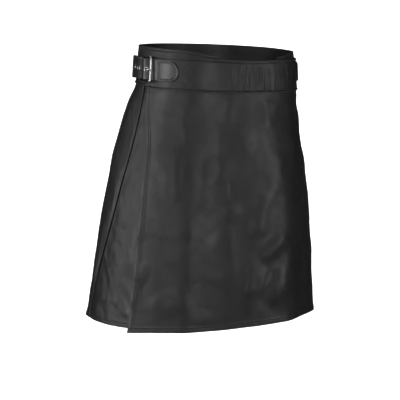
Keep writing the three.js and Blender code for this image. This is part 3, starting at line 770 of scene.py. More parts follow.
# A stitch: a long bead of thread, six-sided, that dips at both ends.
BEAD_RINGS = np.array([(-0.5, 0.25, -0.9), (-0.4, 0.8, -0.3), (-0.15, 1, 0.1), (0.15, 1, 0.1),
                       (0.4, 0.8, -0.3), (0.5, 0.25, -0.9)])
BEAD_SIDES = 6
STITCH_SLANT = 0.16
STITCH_REACH = 0.4


def stitch_beads(path, normal):
    """Points and faces of the stitches along a path: one bead for each pitch of its length, set
    along the path, slanted a little, and standing out along the normal."""
    run = run_along(path)
    count = max(2, int(run[-1] / mm("stitch_pitch")))
    at = (np.arange(count) + 0.5) * run[-1] / count
    centre = read_path(path, run, at)
    up = unit(read_path(normal, run, at))
    reach = STITCH_REACH * run[-1] / count
    along = unit(read_path(path, run, at + reach) - read_path(path, run, at - reach))
    across = np.cross(up, along)
    along = unit(along + STITCH_SLANT * across)
    across = np.cross(up, along)
    a = np.linspace(0, 2 * np.pi, BEAD_SIDES, endpoint=False)
    radius = mm("thread_radius")
    shift, size, dip = BEAD_RINGS.T
    u = np.repeat(shift * mm("stitch_length"), BEAD_SIDES)
    v = np.outer(size, np.cos(a)).ravel() * radius
    w = (np.outer(size, np.sin(a)) + dip[:, None]).ravel() * radius
    points = (centre[:, None] + u[None, :, None] * along[:, None] + v[None, :, None]
              * across[:, None] + w[None, :, None] * up[:, None])
    each = len(BEAD_RINGS) * BEAD_SIDES
    index = ring_numbers(len(BEAD_RINGS), BEAD_SIDES)
    quads = grid_faces(index)
    first, last = index[0], index[-1]
    caps = np.array([first[[0, 1, 2, 3]], first[[0, 3, 4, 5]],
                     last[[3, 2, 1, 0]], last[[5, 4, 3, 0]]])
    faces = outward(points[0], np.concatenate([quads, caps]))
    faces = (faces[None] + each * np.arange(count)[:, None, None]).reshape(-1, 4)
    return points.reshape(-1, 3), faces


def stitching(name, lines, slot):
    """All the stitches of a piece as one object; each line is its path and its normals."""
    points, faces, start = [], [], 0
    for path, normal in lines:
        some_points, some_faces = stitch_beads(path, normal)
        points.append(some_points)
        faces.append(some_faces + start)
        start += len(some_points)
    piece = make_object(name, np.concatenate(points), np.concatenate(faces),
                        finish_of("thread"))
    return fit(piece, slot)


def seam_line(inner, outer, row=slice(None), column=slice(None)):
    """A row or column of a panel's outer grid, as a path with its outward direction."""
    return outer[row, column], unit(outer[row, column] - inner[row, column])


def sewn_sheet(name, slot, inner, outer, edge_light_mask, lines):
    """A piece of the garment leather as a closed shell, with its stitches."""
    piece = shell(f"{name}_leather", inner, outer, finish_of(slot), edge_light_mask)
    fit(piece, slot, name)
    thread = stitching(f"{name}_stitches", lines, slot)


def cut(piece, cutters):
    """Cuts closed shapes out of a piece and keeps the plain result."""
    for cutter in cutters:
        tool = piece.modifiers.new("cut", "BOOLEAN")
        tool.operation = "DIFFERENCE"
        tool.solver = "EXACT"
        tool.object = cutter
    bpy.context.view_layer.update()
    graph = bpy.context.evaluated_depsgraph_get()
    result = bpy.data.meshes.new_from_object(piece.evaluated_get(graph))
    piece.modifiers.clear()
    piece.data = result
    for cutter in cutters:
        bpy.data.objects.remove(cutter)
    return piece


# Folds and dents of the apron, from one place to another as along and level.
APRON_CREASES = columns("a0 l0 a1 l1 bow width height", [
    (-163, -36, -129, -70, 4, 9, -1.62),
    (-130, -52, -127, -118, 0, 13, 1.75),
    (-189, -100, -156, -114, 2, 7, -1),
    (-150, -120, -152, -232, 0, 18, 1.7),
    (-118, -120, -124, -246, 2, 20, -1.35),
    (-70, -112, -96, -252, -5, 20, 1.5),
    (-36, -116, -46, -236, 3, 20, -1.3),
    (-47, -34, -50, -84, 2, 11, 1.25),
    (22, -34, 34, -96, 2, 12, 1.38),
    (66, -140, 28, -212, 2, 19, 2.2),
    (34, -200, -4, -292, 4, 15, 2),
    (62, -290, 8, -336, 3, 13, 3),
    (74, -312, 26, -372, 3, 16, -2),
    (80, -318, 34, -424, 6, 21, 3),
    (34, -352, 10, -420, 3, 9, -1.62),
    (-10, -330, -18, -396, 2, 9, 1.25),
    (-200, -326, -234, -425, 4, 16, 1.3),
    (-176, -286, -204, -396, 0, 17, -1.4),
    (-92, -286, -84, -344, 2, 13, 1.25),
    (-120, -398, -70, -408, 3, 16, -1.38),
    (96, -92, 102, -196, 0, 20, 1.6),
    (128, -120, 108, -272, 4, 20, -1.3),
    (150, -58, 132, -128, 3, 11, 1.62),
    (168, -150, 160, -280, 2, 20, 1),
    (140, -300, 176, -416, 3, 20, 0.8),
    (206, -330, 214, -420, 0, 16, -1),
])

# Creases of the apron's waistband: the middle line at its top, half height and foot.
BAND_CREASES = columns("top middle foot width height", [
    (-47, -45, -49, 2.4, 0.4),
    (-40, -38, -42, 2.0, -0.6),
    (-35, -34, -38, 2.4, 0.7),
    (-30, -31, -33, 1.8, -0.9),
    (-26, -27, -31, 2.0, 0.8),
    (-21, -23, -27, 1.7, -0.8),
    (-17, -19, -23, 1.9, 0.9),
    (-13, -15, -18, 1.7, -1.4),
    (-9, -11, -14, 2.0, 1.1),
    (-4, -6, -10, 1.8, -1.1),
    (0, -2, -5, 1.9, 0.8),
    (4, 4, 1, 1.7, -0.8),
    (8, 8, 4, 1.8, 0.7),
    (12, 10, -2, 2.2, 1.3),
    (17, 17, 10, 1.9, -1.1),
    (21, 21, 18, 1.8, 0.6),
    (26, 26, 24, 1.8, -0.9),
    (31, 31, 31, 2.2, 0.6),
    (37, 38, 40, 2.6, -0.6),
    (46, 45, 46, 3.0, 0.5),
    (74, 78, 77, 3.0, -0.45),
    (81, 84, 86, 2.6, 0.4),
    (92, 90, 94, 2.8, -0.5),
    (99, 101, 100, 2.6, 0.4),
    (110, 107, 109, 2.6, -0.5),
    (118, 117, 120, 2.4, 0.45),
    (126, 124, 127, 2.2, -0.4),
])

# Drag lines of the waistband: broad ones, and those that spread from the sewn strap ends.
BAND_DRAGS = columns("a0 l0 a1 l1 bow width height", [
    (-50, -26, -14, 26, 0, 9, 0.9),
    (-127, 8, -112, 20, 1, 2.4, -0.5),
    (-126, 0, -106, 6, 1, 2.6, -0.45),
    (-128, -8, -111, -16, 1, 2.6, -0.5),
    (-122, -14, -116, -25, 1, 2.2, -0.35),
    (-140, 25, -152, 22, -1, 2.4, -0.5),
    (-168, -20, -150, -19, 1, 3.0, -0.4),
    (-176, -24, -160, -27, 1, 3.0, 0.4),
    (127, 9, 113, 18, -1, 2.4, -0.5),
    (126, -1, 104, -3, 1, 2.6, -0.5),
    (128, -9, 112, -19, 1, 2.6, -0.5),
    (140, 25, 150, 22, 1, 2.4, -0.4),
])

# Small creases of the wrap's side panel where its hem is caught under the apron.
SIDE_CREASES = columns("a0 l0 a1 l1 bow width height", [
    (241, -436, 282, -410, 2, 4, -0.6),
    (245, -444, 292, -420, 2, 4, -0.5),
    (250, -424, 268, -406, 1, 5, 0.6),
    (238, -420, 256, -432, 1, 6, 0.7),
    (213, -160, 234, -168, 2, 6, -0.6),
    (246, -196, 236, -232, 2, 9, 0.5),
    (262, -262, 246, -276, 1, 8, 0.6),
    (286, -322, 302, -326, 1, 4, -0.4),
    (272, -300, 258, -306, 1, 5, -0.4),
    (300, -352, 280, -372, 2, 6, 0.4),
    (262, -356, 244, -372, 2, 7, -0.4),
    (318, -400, 300, -420, 2, 6, 0.4),
])

APRON_ROWS = 118
APRON_COLUMNS = 128


def apron_hem(along):
    """The apron's hem: level in the middle and lower at its corners."""
    return APRON_HEM - APRON_CORNER_DROP * (np.abs(along) / 239) ** 4


# The apron's folds grow below its band. A dent is tucked in there, and the folds sink in far
# only in the middle, where nothing lies behind.
FOLDS_GROW = 12
DENT = {"along": 40, "level": -36, "wide": 24, "high": 9, "depth": 1.6}
SINK_ON_WRAP = 0.4
SINK_FREE = 4
BEHIND_FREE = 60


def apron_relief(along, level):
    """What the apron's own folds add to its distance from the form."""
    shown = ease((APRON_BAND_FOOT - 1 - level) / FOLDS_GROW)
    dent = (DENT["depth"] * bell(along - DENT["along"], DENT["wide"])
            * bell(level - DENT["level"], DENT["high"]))
    relief = creases(APRON_CREASES, along, level) + softness("apron", along, level) - dent
    open_behind = ease((BEHIND_FREE - np.abs(along)) / FOLDS_GROW)
    return np.maximum(shown * relief, -SINK_ON_WRAP - SINK_FREE * open_behind)


def make_apron_panel():
    """The front apron: one free-hanging panel, turned and sewn on both side edges and the hem."""
    wall, swell, groove = mm("panel_wall"), mm("turn_swell"), mm("stitch_groove")
    length = PANEL_TOP - APRON_HEM
    down = spread(length, APRON_ROWS, RIM_STEPS, EDGE_STEPS)[0][:, None]
    share = down / length
    reach = read(EDGES, "level", "apron", mix(PANEL_TOP, APRON_HEM, share))
    inset = spread(2 * reach[:, 0], APRON_COLUMNS)
    along = inset - reach
    level = mix(PANEL_TOP, apron_hem(along), share)
    side = np.minimum(inset, 2 * reach - inset)
    hem = length - down + 0 * side
    settled = PLEAT_STACK + wall + HANG_GAP
    top_out = WRAP_BAND_OUT + mm("band_wall") + HANG_GAP
    rise = ease((level - APRON_SETTLES) / (APRON_LEAVES - APRON_SETTLES))
    out = mix(settled, top_out, rise) + wall / 2 + apron_relief(along, level)
    thick = rim(side, PANEL_ROUND) * rim(hem, PANEL_ROUND) * rim(down, PANEL_ROUND)
    raised = (turned_edge(side, swell, groove) + turned_edge(hem, swell, groove)
              + SIDE_PUCKER * seam_pucker(side, level, SEEDS["apron_side"])
              + HEM_PUCKER * seam_pucker(hem, along, SEEDS["apron_hem"]))
    inner = place(along, level, out - wall / 2 * thick)
    outer = place(along, level, out + (wall / 2 + raised) * thick)
    seam, last = SEAM_LINE, -1 - SEAM_LINE
    below_rim = slice(len(RIM_STEPS) - 2, last)
    lines = [seam_line(inner, outer, below_rim, seam), seam_line(inner, outer, below_rim, last),
             seam_line(inner, outer, last, slice(seam, last))]
    sewn_sheet("apron_panel", "panel_leather", inner, outer,
               wear_and_highlight_share(np.minimum(side, hem), PANEL_WEAR_AND_HIGHLIGHT), lines)


BAND_STITCH_TOP = 4.2
BAND_STITCH_FOOT = 4.0
BAND_STEPS_TOP = (0, 0.05, 0.2, 0.45, 0.8, 1.3, 2, 2.8, 3.4, 3.8, BAND_STITCH_TOP, 4.6, 5, 5.7)
BAND_STEPS_FOOT = (0, 0.05, 0.2, 0.45, 0.8, 1.3, 2, 2.6, 3.2, 3.6, BAND_STITCH_FOOT, 4.4, 4.8, 5.5)
BAND_SEAM = BAND_STEPS_TOP.index(BAND_STITCH_TOP)
BAND_GROOVE = 0.8
TOP_ROLL = 2.6
TOP_SWELL = 0.3
TOP_SWELL_WIDE = 2.4
FOOT_ROLL = 2.2
FOOT_SWELL = 1.0
FOOT_SWELL_WIDE = 2.8
# The band's upright creases: how far their lines wander, in how many bends, within which share
# of the height they start, and how much they come and go.
CREASE_WANDER = 1.1
CREASE_BENDS = 5
CREASE_STARTS = 0.3
CREASE_START_STEP = 0.37
CREASE_START_FADE = 0.2
CREASE_FOOT_FADE = 0.08
CREASE_FLICKER = 0.35
CREASE_FLICKERS = 8
STRAP_PRESS = 0.8
FRONT_DIP_WIDE = 50
FOOT_PUCKER = 0.3
FOOT_PUCKER_SIZE = 17
FOOT_PUCKER_REACH = 5
BAND_END_SWELL = 0.2
BAND_END_GROOVE = 0.3
WRAP_TOP_RISES = 70
WRAP_SHOWS_FROM = 194
WRAP_SHOWS_OVER = 8
RIPPLE = 0.4
RIPPLE_SLANT = 0.1
RIPPLE_SIZE = 30
RIPPLE_GROWS = 40
APRON_BAND_ROWS = 24
APRON_BAND_COLUMNS = 270
WRAP_BAND_ROWS = 22
WRAP_BAND_COLUMNS = 330


def band_profile(height, share):
    """A waistband over its height: the share of its thickness where it rolls over its folded top
    and foot, and how far it stands out beside them and sinks at its two rows of stitching."""
    top, foot = share * height, (1 - share) * height
    roll = np.sqrt(np.clip(rim(top, TOP_ROLL) * rim(foot, FOOT_ROLL), 0, 1))
    groove = bell(top - BAND_STITCH_TOP, BAND_GROOVE) + bell(foot - BAND_STITCH_FOOT, BAND_GROOVE)
    swell = FOOT_SWELL * bell(foot, FOOT_SWELL_WIDE) + TOP_SWELL * bell(top, TOP_SWELL_WIDE)
    return roll, swell - mm("stitch_groove") * groove


def band_creases(along, share):
    """The fine upright creases of the waistband: each line bends through three places and
    wanders, and starts at a height of its own."""
    total = np.zeros(np.shape(along))
    for top, middle, foot, width, height in zip(*BAND_CREASES.values()):
        table = {"share": np.array([0, 0.5, 1]), "at": np.array([top, middle, foot])}
        line = read(table, "share", "at", share)
        line = line + CREASE_WANDER * np.sin(share * (CREASE_BENDS + top % 4) + 2 * top)
        start = CREASE_STARTS * (top * CREASE_START_STEP % 1)
        fade = (ease((share - start) / CREASE_START_FADE) * ease((1 - share) / CREASE_FOOT_FADE)
                * (1 - CREASE_FLICKER + CREASE_FLICKER * np.sin(share * CREASE_FLICKERS + top)))
        total = total + height * fade * bell(along - line, width)
    return total


def make_band(name, placed, base, down, side, raised, roll, edge_light_mask, seam_columns=()):
    """A waistband on its layer: square at its back, rolled over at its top and foot, with a row
    of stitching along both, and down the columns that are sewn too."""
    half, height = mm("band_wall") / 2, down[-1]
    ends = rim(side, BAND_ROUND)
    back = rim(down, BAND_BACK_ROUND) * rim(height - down, BAND_BACK_ROUND)
    inner = placed(base + half - half * ends * back)
    outer = placed(base + half + (half + raised) * roll * ends)
    last, whole = -1 - BAND_SEAM, slice(SEAM_LINE, -1 - SEAM_LINE)
    lines = [seam_line(inner, outer, row, whole) for row in (BAND_SEAM, last)]
    lines += [seam_line(inner, outer, slice(BAND_SEAM, last), column) for column in seam_columns]
    sewn_sheet(name, "band_leather", inner, outer, wear_and_highlight_share(edge_light_mask, BAND_WEAR_AND_HIGHLIGHT), lines)


def make_apron_band():
    """The apron's waistband: folded at its top, sewn along its top and foot, creased where it
    bends with the waist."""
    reach = read(EDGES, "level", "apron", APRON_BAND_TOP)
    inset = spread(2 * reach, APRON_BAND_COLUMNS)
    along = inset - reach
    height = APRON_BAND_TOP - APRON_BAND_FOOT
    down = spread(height, APRON_BAND_ROWS, BAND_STEPS_TOP, BAND_STEPS_FOOT)[0][:, None]
    share = down / height
    top = APRON_BAND_TOP - FRONT_DIP * bell(along, FRONT_DIP_WIDE)
    level = mix(top, APRON_BAND_FOOT, share)
    side = np.minimum(inset, 2 * reach - inset)
    relief = (band_creases(along, share) + creases(BAND_DRAGS, along, level)
              + softness("apron_band", along, level))
    under_strap = (ease((np.abs(along) - ROOT_START + 1) / 4)
                   * ease((STRAP_WIDTH / 2 + 1 - np.abs(level - STRAP_LEVEL)) / 3))
    relief = relief * (1 - STRAP_PRESS * under_strap)
    roll, raised = band_profile(height, share)
    foot_pucker = (FOOT_PUCKER * wobble(along, SEEDS["band_foot"], FOOT_PUCKER_SIZE)
                   * bell((1 - share) * height, FOOT_PUCKER_REACH))
    raised = (raised + relief + foot_pucker
              + turned_edge(side, BAND_END_SWELL, BAND_END_GROOVE))
    make_band("apron_band", lambda out: place(along, level, out),
              WRAP_BAND_OUT + mm("band_wall") + HANG_GAP + LAYER, down, side, raised, roll,
              np.minimum(np.minimum(down, height - down), side), (SEAM_LINE, -1 - SEAM_LINE))


def wrap_place(run, level, out):
    """place() for a piece measured round the back: past the centre back, along counts from the
    other side."""
    half = half_girth(level)
    return place(np.where(run <= half, run, run - 2 * half), level, out)


def make_wrap_band():
    """The inner waistband, from one front end round the back to the other; it is even where the
    apron's band lies on it, and swells and ripples where it shows."""
    whole = 2 * half_girth(0.0)
    inset = spread(whole - 2 * WRAP_FRONT_END, WRAP_BAND_COLUMNS)
    run = inset + WRAP_FRONT_END
    away = np.minimum(run, whole - run)
    height = WRAP_BAND_TOP - WRAP_BAND_FOOT
    down = spread(height, WRAP_BAND_ROWS, BAND_STEPS_TOP, BAND_STEPS_FOOT)[0][:, None]
    share = down / height
    scale = half_girth(mix(WRAP_BAND_TOP, WRAP_BAND_FOOT, share)) / half_girth(0.0)
    top = mix(WRAP_BAND_END_TOP, WRAP_BAND_TOP, ease((away - WRAP_FRONT_END) / WRAP_TOP_RISES))
    level = mix(top, WRAP_BAND_FOOT, share)
    side = np.minimum(inset, inset[:, -1:] - inset)
    roll, raised = band_profile(height, share)
    in_view = ease((away - WRAP_SHOWS_FROM) / WRAP_SHOWS_OVER)
    behind = ease((away - CHAPE_END) / RIPPLE_GROWS)
    ripple = (behind * RIPPLE * wobble(run + RIPPLE_SLANT * level, SEEDS["wrap_ripple"],
                                       RIPPLE_SIZE) * np.sin(np.pi * share) ** 0.5)
    relief = softness("wrap_band", run, level) + ripple
    raised = np.minimum(raised, 0) + in_view * (np.maximum(raised, 0) + relief)
    make_band("wrap_band", lambda out: wrap_place(run * scale, level, out), WRAP_BAND_OUT, down,
              side, raised, roll, np.minimum(down, height - down) + 0 * side)


def fold_at(index, level):
    """The folded front edge of a pleat, along the form."""
    first = read(EDGES, "level", "fold", level)
    return first + (half_girth(level) - first) / (PLEATS_EACH_SIDE + BACK_PANEL_SHARE) * index


def down_share(level):
    """Share of the way from the panels' tops to the wrap's hem."""
    return (PANEL_TOP - level) / (PANEL_TOP - WRAP_HEM)


def return_depth(level):
    """How far a fold's hidden layer runs back under the face."""
    return mix(RETURN_TOP, RETURN_HEM, down_share(level))


def fold_lift(level):
    """How far a pleat's fold has opened."""
    return FOLD_LIFT * ease(down_share(level))


def nose_turn(level):
    """The bend of a pleat's pressed fold, at its middle line."""
    return (LAYER + FOLD_PRESSED * fold_lift(level)) / 2


def face_out(level, inside):
    """How far out a pleat's face lies, by its distance in from the fold: low at the pressed
    fold, then puffed up to the full lift."""
    lift = fold_lift(level)[:, None] * mix(FOLD_PRESSED, 1, ease(inside / PUFF_RUN))
    return PLEAT_STACK + mm("panel_wall") / 2 + lift


def ducking(along, fold, run):
    """Share of its height that a layer keeps on the way to the fold over it: a long fall to its
    shoulder, close in front of the fold, then a steep one."""
    long_fall = ease((fold - along) / run)
    steep_fall = ease((fold - SHOULDER_END - along) / SHOULDER_RUN)
    return steep_fall * mix(SHOULDER, 1, long_fall)


SIDE_ROWS = 104
PLEAT_ROWS = 96
SIDE_OVERLAP = 14
SEAM_DUCK = 6
PLEAT_SLACK = 0.5
SLACK_SIZE = 190
SINK_MOST = 0.25
SINK_SHARE = 0.8
DIP_SHARE = 0.8
# Distances over which a panel's unevenness grows: down from the band, and along from an edge.
PANEL_GROWS = 30
SIDE_GROWS = 14
OPEN_GROWS = 16
FOLD_FADES = 12
CAUGHT_FROM = 6
CAUGHT_GROWS = 8
LOOSE_BEFORE_FOLD = 4
LOOSE_SHARE = 0.5
PAST_FOLD = 2
# Mesh columns between the places of each section, from its front to its inner seam.
SIDE_COLUMNS = (22, 50, 14, 7)
PLEAT_COLUMNS = (12, 20, 16, 7)
RETURN_COLUMNS = 8
NOSE_COLUMNS = 11
BACK_COLUMNS = 40


def wrap_levels(count):
    """The rows of a wrap panel: levels, and distances down from its top and up from its hem."""
    length = PANEL_TOP - WRAP_HEM
    down = spread(length, count, RIM_STEPS, EDGE_STEPS)[0]
    return PANEL_TOP - down, down[:, None], (length - down)[:, None]


def kept_clear(soft, level):
    """A pleat's unevenness, held off the layer beneath it."""
    room = SINK_SHARE * FOLD_PRESSED * fold_lift(level)[:, None]
    return np.maximum(soft, -SINK_MOST - room)


def on_side(sign):
    """place() for one side: a section is worked out for the left and mirrored for the right."""
    return lambda along, level, out: place(sign * along, level, out)


def make_wrap_panel(name, along, out, rows, placed, seed):
    """A wrap panel from its section's middle line at each level: thickened square to the line,
    rounded at all four edges, with the hem turned and sewn."""
    half, (level, down, hem) = mm("panel_wall") / 2, rows
    level, hem = level[:, None] + 0 * along, hem + 0 * along
    run = np.cumsum(np.hypot(np.diff(along, axis=1, prepend=along[:, :1]),
                             np.diff(out, axis=1, prepend=out[:, :1])), axis=1)
    side = np.minimum(run, run[:, -1:] - run)
    thick = rim(side, PANEL_ROUND) * rim(hem, PANEL_ROUND) * rim(down, PANEL_ROUND)
    raised = (turned_edge(hem, mm("turn_swell"), mm("stitch_groove"))
              + SIDE_PUCKER * seam_pucker(hem, along, seed))
    inner = lifted(placed, along, level, out, -half * thick)
    outer = lifted(placed, along, level, out, (half + raised) * thick)
    line = seam_line(inner, outer, -1 - SEAM_LINE, slice(len(RIM_STEPS), -len(RIM_STEPS)))
    sewn_sheet(name, "panel_leather", inner, outer, wear_and_highlight_share(hem, PANEL_WEAR_AND_HIGHLIGHT), [line])


def ends_graded(section):
    """Adds the rim's close steps to both ends of a section's columns."""
    first, second = section[:, :1], section[:, 1:2]
    last, before = section[:, -1:], section[:, -2:-1]
    near = np.array(RIM_STEPS[1:])
    start = first + np.sign(second - first) * near
    end = last + np.sign(before - last) * near[::-1]
    return np.hstack([first, start, section[:, 1:-1], end, last])


def make_side_panel(label, sign):
    """A side panel of the wrap: from under the apron, in view behind its edge, then down under
    the first pleat's fold to the inner seam."""
    rows = wrap_levels(SIDE_ROWS)
    level = rows[0]
    fold, deep, turn = fold_at(0, level), return_depth(level), nose_turn(level)
    edge = read(EDGES, "level", "apron", level)
    shown = edge - SIDE_OVERLAP
    dip_run = np.minimum(DIP_SHARE * (fold - edge), DIP_RUN_MOST)
    along = ends_graded(blocks(
        (WRAP_FRONT_END, shown, fold - SEAM_DUCK, fold + turn, fold + deep), SIDE_COLUMNS))
    fold, shown, level = fold[:, None], shown[:, None], level[:, None] + 0 * along
    open_air = (ease((along - shown) / OPEN_GROWS) * ease((fold - along) / FOLD_FADES)
                * ease((APRON_BAND_FOOT - level) / SIDE_GROWS))
    caught = ease((along - shown - CAUGHT_FROM) / CAUGHT_GROWS)
    relief = open_air * (caught * creases(SIDE_CREASES, along, level)
                         + softness("side_panel", sign * along, level) - SINK_MOST)
    out = PLEAT_STACK * ducking(along, fold, dip_run[:, None]) + mm("panel_wall") / 2 + relief
    make_wrap_panel(f"side_panel_{label}", along, out, rows, on_side(sign),
                    SEEDS["side_hem"])


def pleat_head(fold, level):
    """The hidden return of a pleat, from the inner seam forward, and the round of its fold."""
    turn, deep = nose_turn(level), return_depth(level)
    low = LAYER + mm("panel_wall") / 2
    back = block(fold + deep, fold + turn, RETURN_COLUMNS)
    angle = np.linspace(0, np.pi, NOSE_COLUMNS)[None, :-1]
    bend = (fold + turn)[:, None] - turn[:, None] * np.sin(angle)
    bend_out = (low + turn)[:, None] - turn[:, None] * np.cos(angle)
    return np.hstack([back, bend]), np.hstack([0 * back + low, bend_out]), fold + turn


def make_pleat(index, label, sign):
    """A knife pleat: folded edge to the front, face on top, sinking under the next fold."""
    rows = wrap_levels(PLEAT_ROWS)
    level = rows[0]
    fold, following, deep = fold_at(index, level), fold_at(index + 1, level), return_depth(level)
    head, head_out, start = pleat_head(fold, level)
    face = blocks((start, fold + deep, following - SEAM_DUCK, following + PAST_FOLD,
                   following + deep), PLEAT_COLUMNS)
    inside = face - start[:, None]
    height = ducking(face, following[:, None], (following - fold - deep)[:, None])
    top = mix(mm("panel_wall") / 2, face_out(level, inside), height)
    across = level[:, None] + 0 * face
    loose = (ease((APRON_BAND_FOOT - across) / PANEL_GROWS)
             * ease((following[:, None] - LOOSE_BEFORE_FOLD - face)
                    / (LOOSE_SHARE * (following - fold))[:, None]))
    own = 10 * index + sign
    slack = wobble(across, SEEDS["pleat_slack"] + own, SLACK_SIZE)
    soft = loose * (softness("pleat", face, across, own) + PLEAT_SLACK * (1 + slack))
    top = top + kept_clear(soft, level) * ease(inside / SEAM_DUCK)
    make_wrap_panel(f"pleat_{index + 1}_{label}", np.hstack([head, face]),
                    np.hstack([head_out, top]), rows, on_side(sign),
                    SEEDS["pleat_hem"] + index)


def make_back_panel():
    """The centre back: a box pleat with a folded edge and a return on both sides."""
    rows = wrap_levels(PLEAT_ROWS)
    level = rows[0]
    whole = 2 * half_girth(level)
    head, head_out, start = pleat_head(fold_at(PLEATS_EACH_SIDE, level), level)
    face = block(start, whole - start, BACK_COLUMNS)
    inside = np.minimum(face - face[:, :1], (whole - start)[:, None] - face)
    top = face_out(level, inside)
    across = level[:, None] + 0 * face
    loose = ease((APRON_BAND_FOOT - across) / PANEL_GROWS) * ease(inside / SEAM_DUCK)
    soft = kept_clear(loose * softness("back_panel", face, across), level)
    far = whole[:, None] - np.hstack([head, start[:, None]])[:, ::-1]
    far_out = np.hstack([head_out, top[:, :1]])[:, ::-1]
    make_wrap_panel("back_panel", np.hstack([head, face, far]),
                    np.hstack([head_out, top + soft, far_out]), rows, wrap_place,
                    SEEDS["back_hem"])


def strap_levels():
    """The layers of strap and buckle, out from the form, by name."""
    wall, chape, wire = mm("strap_wall"), mm("chape_wall"), mm("wire_radius")
    wrap_face = WRAP_BAND_OUT + mm("band_wall")
    apron_face = wrap_face + HANG_GAP + LAYER + mm("band_wall")
    on_chape = wrap_face + STRAP_GAP + chape + GAP
    hinge = on_chape + FRAME_RISE + wire
    return {
        "wrap_face": wrap_face,
        "on_apron": apron_face + STRAP_GAP + wall / 2,
        "on_chape": on_chape,
        "through_keeper": on_chape + mm("keeper_wall") + GAP + wall / 2,
        "hinge": hinge,
        "bar": apron_face + STRAP_GAP + wall + STRAP_GAP + FRAME_RISE + wire,
        "over_hinge": hinge + wire + GAP + mm("prong_thick") + GAP + wall / 2 + 0.3,
    }


# The strap's run from its sewn root to its tip: places along, and distances out from a layer.
STRAP_RUN = (
    (ROOT_START, "on_apron", 0), (ROOT_START + 14, "on_apron", 0), (BAR_AT - 2, "on_apron", 0),
    (BAR_AT, "on_apron", 0), (BAR_AT + 3.5, "on_apron", 1), (BAR_AT + 6.5, "on_apron", 3),
    (EYELET_FIRST, "on_apron", 5.2), (BAR_AT + 13, "on_apron", 7),
    (HINGE_AT - 16, "over_hinge", 0.6), (HINGE_AT - 8, "over_hinge", 0.5),
    (HINGE_AT, "over_hinge", 0), (HINGE_AT + 7, "over_hinge", -2.2),
    (KEEPER_AT - 13, "through_keeper", 1.2), (KEEPER_AT - 6, "through_keeper", 0.2),
    (KEEPER_AT, "through_keeper", 0), (KEEPER_AT + 8, "through_keeper", 0),
    (TIP_END, "through_keeper", -0.6),
)


def strap_out(along):
    """The middle of the strap out from the form: from its sewn root, under the outer bar, up to
    the prong's hole, over the hinge and down through the keeper."""
    at = strap_levels()
    line = columns("along out", [(spot, at[layer] + rise) for spot, layer, rise in STRAP_RUN])
    return read(line, "along", "out", along)


def strap_half_width(along):
    """Half the strap's width: a rounded root, an even run and a blunt point."""
    half = STRAP_WIDTH / 2
    root = 1 - np.clip((along - ROOT_START) / half, 0, 1)
    point = 1 - np.clip((TIP_END - along) / TIP_POINT, 0, 1)
    return half * np.maximum(3 / half, np.sqrt(1 - root ** 2.6)) * (
        0.45 + 0.55 * np.sqrt(1 - point ** 2))


# Stretches of points of the strap's edge and of its mesh lines: start, end and number.
OUTLINE_RUN = ((ROOT_START, ROOT_END - 10, 90), (ROOT_END - 9, TIP_END - 10, 60),
               (TIP_END - 9.5, TIP_END, 40))
GRID_RUN = (
    (ROOT_START + 1.8, ROOT_END - 12, 20), (ROOT_END - 10.5, ROOT_END - 2, 6),
    (ROOT_END - 1, ROOT_END + 1, 5), (ROOT_END + 2, BAR_AT, 14), (BAR_AT + 1, HINGE_AT - 16, 20),
    (HINGE_AT - 14, TIP_END - 10, 32), (TIP_END - 8.5, TIP_END - 1.6, 8),
)
GRID_ACROSS = 16


def strap_outline():
    """The strap's edge, as along and across, once round from the middle of its root."""
    along = stretches(OUTLINE_RUN)
    half = strap_half_width(along)
    upper = np.stack([along, half], axis=-1)
    return np.concatenate([[(ROOT_START, 0)], upper, [(TIP_END, 0)], (upper * (1, -1))[::-1],
                           [(ROOT_START, 0)]])


def distance_to(outline, along, across):
    """Distance of each place from a line of straight pieces."""
    spot = np.stack([along, across], axis=-1)[..., None, :]
    start, run = outline[:-1], np.diff(outline, axis=0)
    share = ((spot - start) * run).sum(-1) / (run ** 2).sum(-1)
    nearest = start + np.clip(share, 0, 1)[..., None] * run
    return np.linalg.norm(spot - nearest, axis=-1).min(axis=-1)


STRAP_STITCH_INSET = 3.2
STRAP_STEPS = RIM_STEPS[:-1] + (1.0, 1.6, 2.2, 2.7, STRAP_STITCH_INSET, 3.7, 4.3, 5.2)
STRAP_GROOVE = 0.8
CROSSING_REACH = 14
DRILL_ENDS = (-6, 6)
DRILL_SIDES = 40
SLACK = 1.8
SLACK_AT = 168.5
SLACK_WIDE = 3.8
DIP = 2.0
DIP_BEYOND_BAR = 7
DIP_WIDE = 2.2
NUDGE = 0.4


def strap_middle(along, across):
    """The strap's middle surface, with the slack it shows between its sewn root and the bar and
    the dip of its upper half on the way to the prong."""
    slack = SLACK * bell(along - SLACK_AT, SLACK_WIDE) * ease((BAR_AT - 1 - along) / 4)
    dip = DIP * bell(along - BAR_AT - DIP_BEYOND_BAR, DIP_WIDE) * ease((across - 5) / 7)
    soft = softness("strap", along, across) * ease((along - ROOT_END + 2) / 8)
    return strap_out(along) + slack - dip + soft


def strap_spot(sign, along, across, off):
    """A place of the strap: off from its middle surface, square to it in the level section."""
    rise = (strap_middle(along + NUDGE, across) - strap_middle(along - NUDGE, across)) / (2 * NUDGE)
    tilt = np.hypot(1, rise)
    return place(sign * (along - off * rise / tilt), STRAP_LEVEL + across,
                 strap_middle(along, across) + off / tilt)


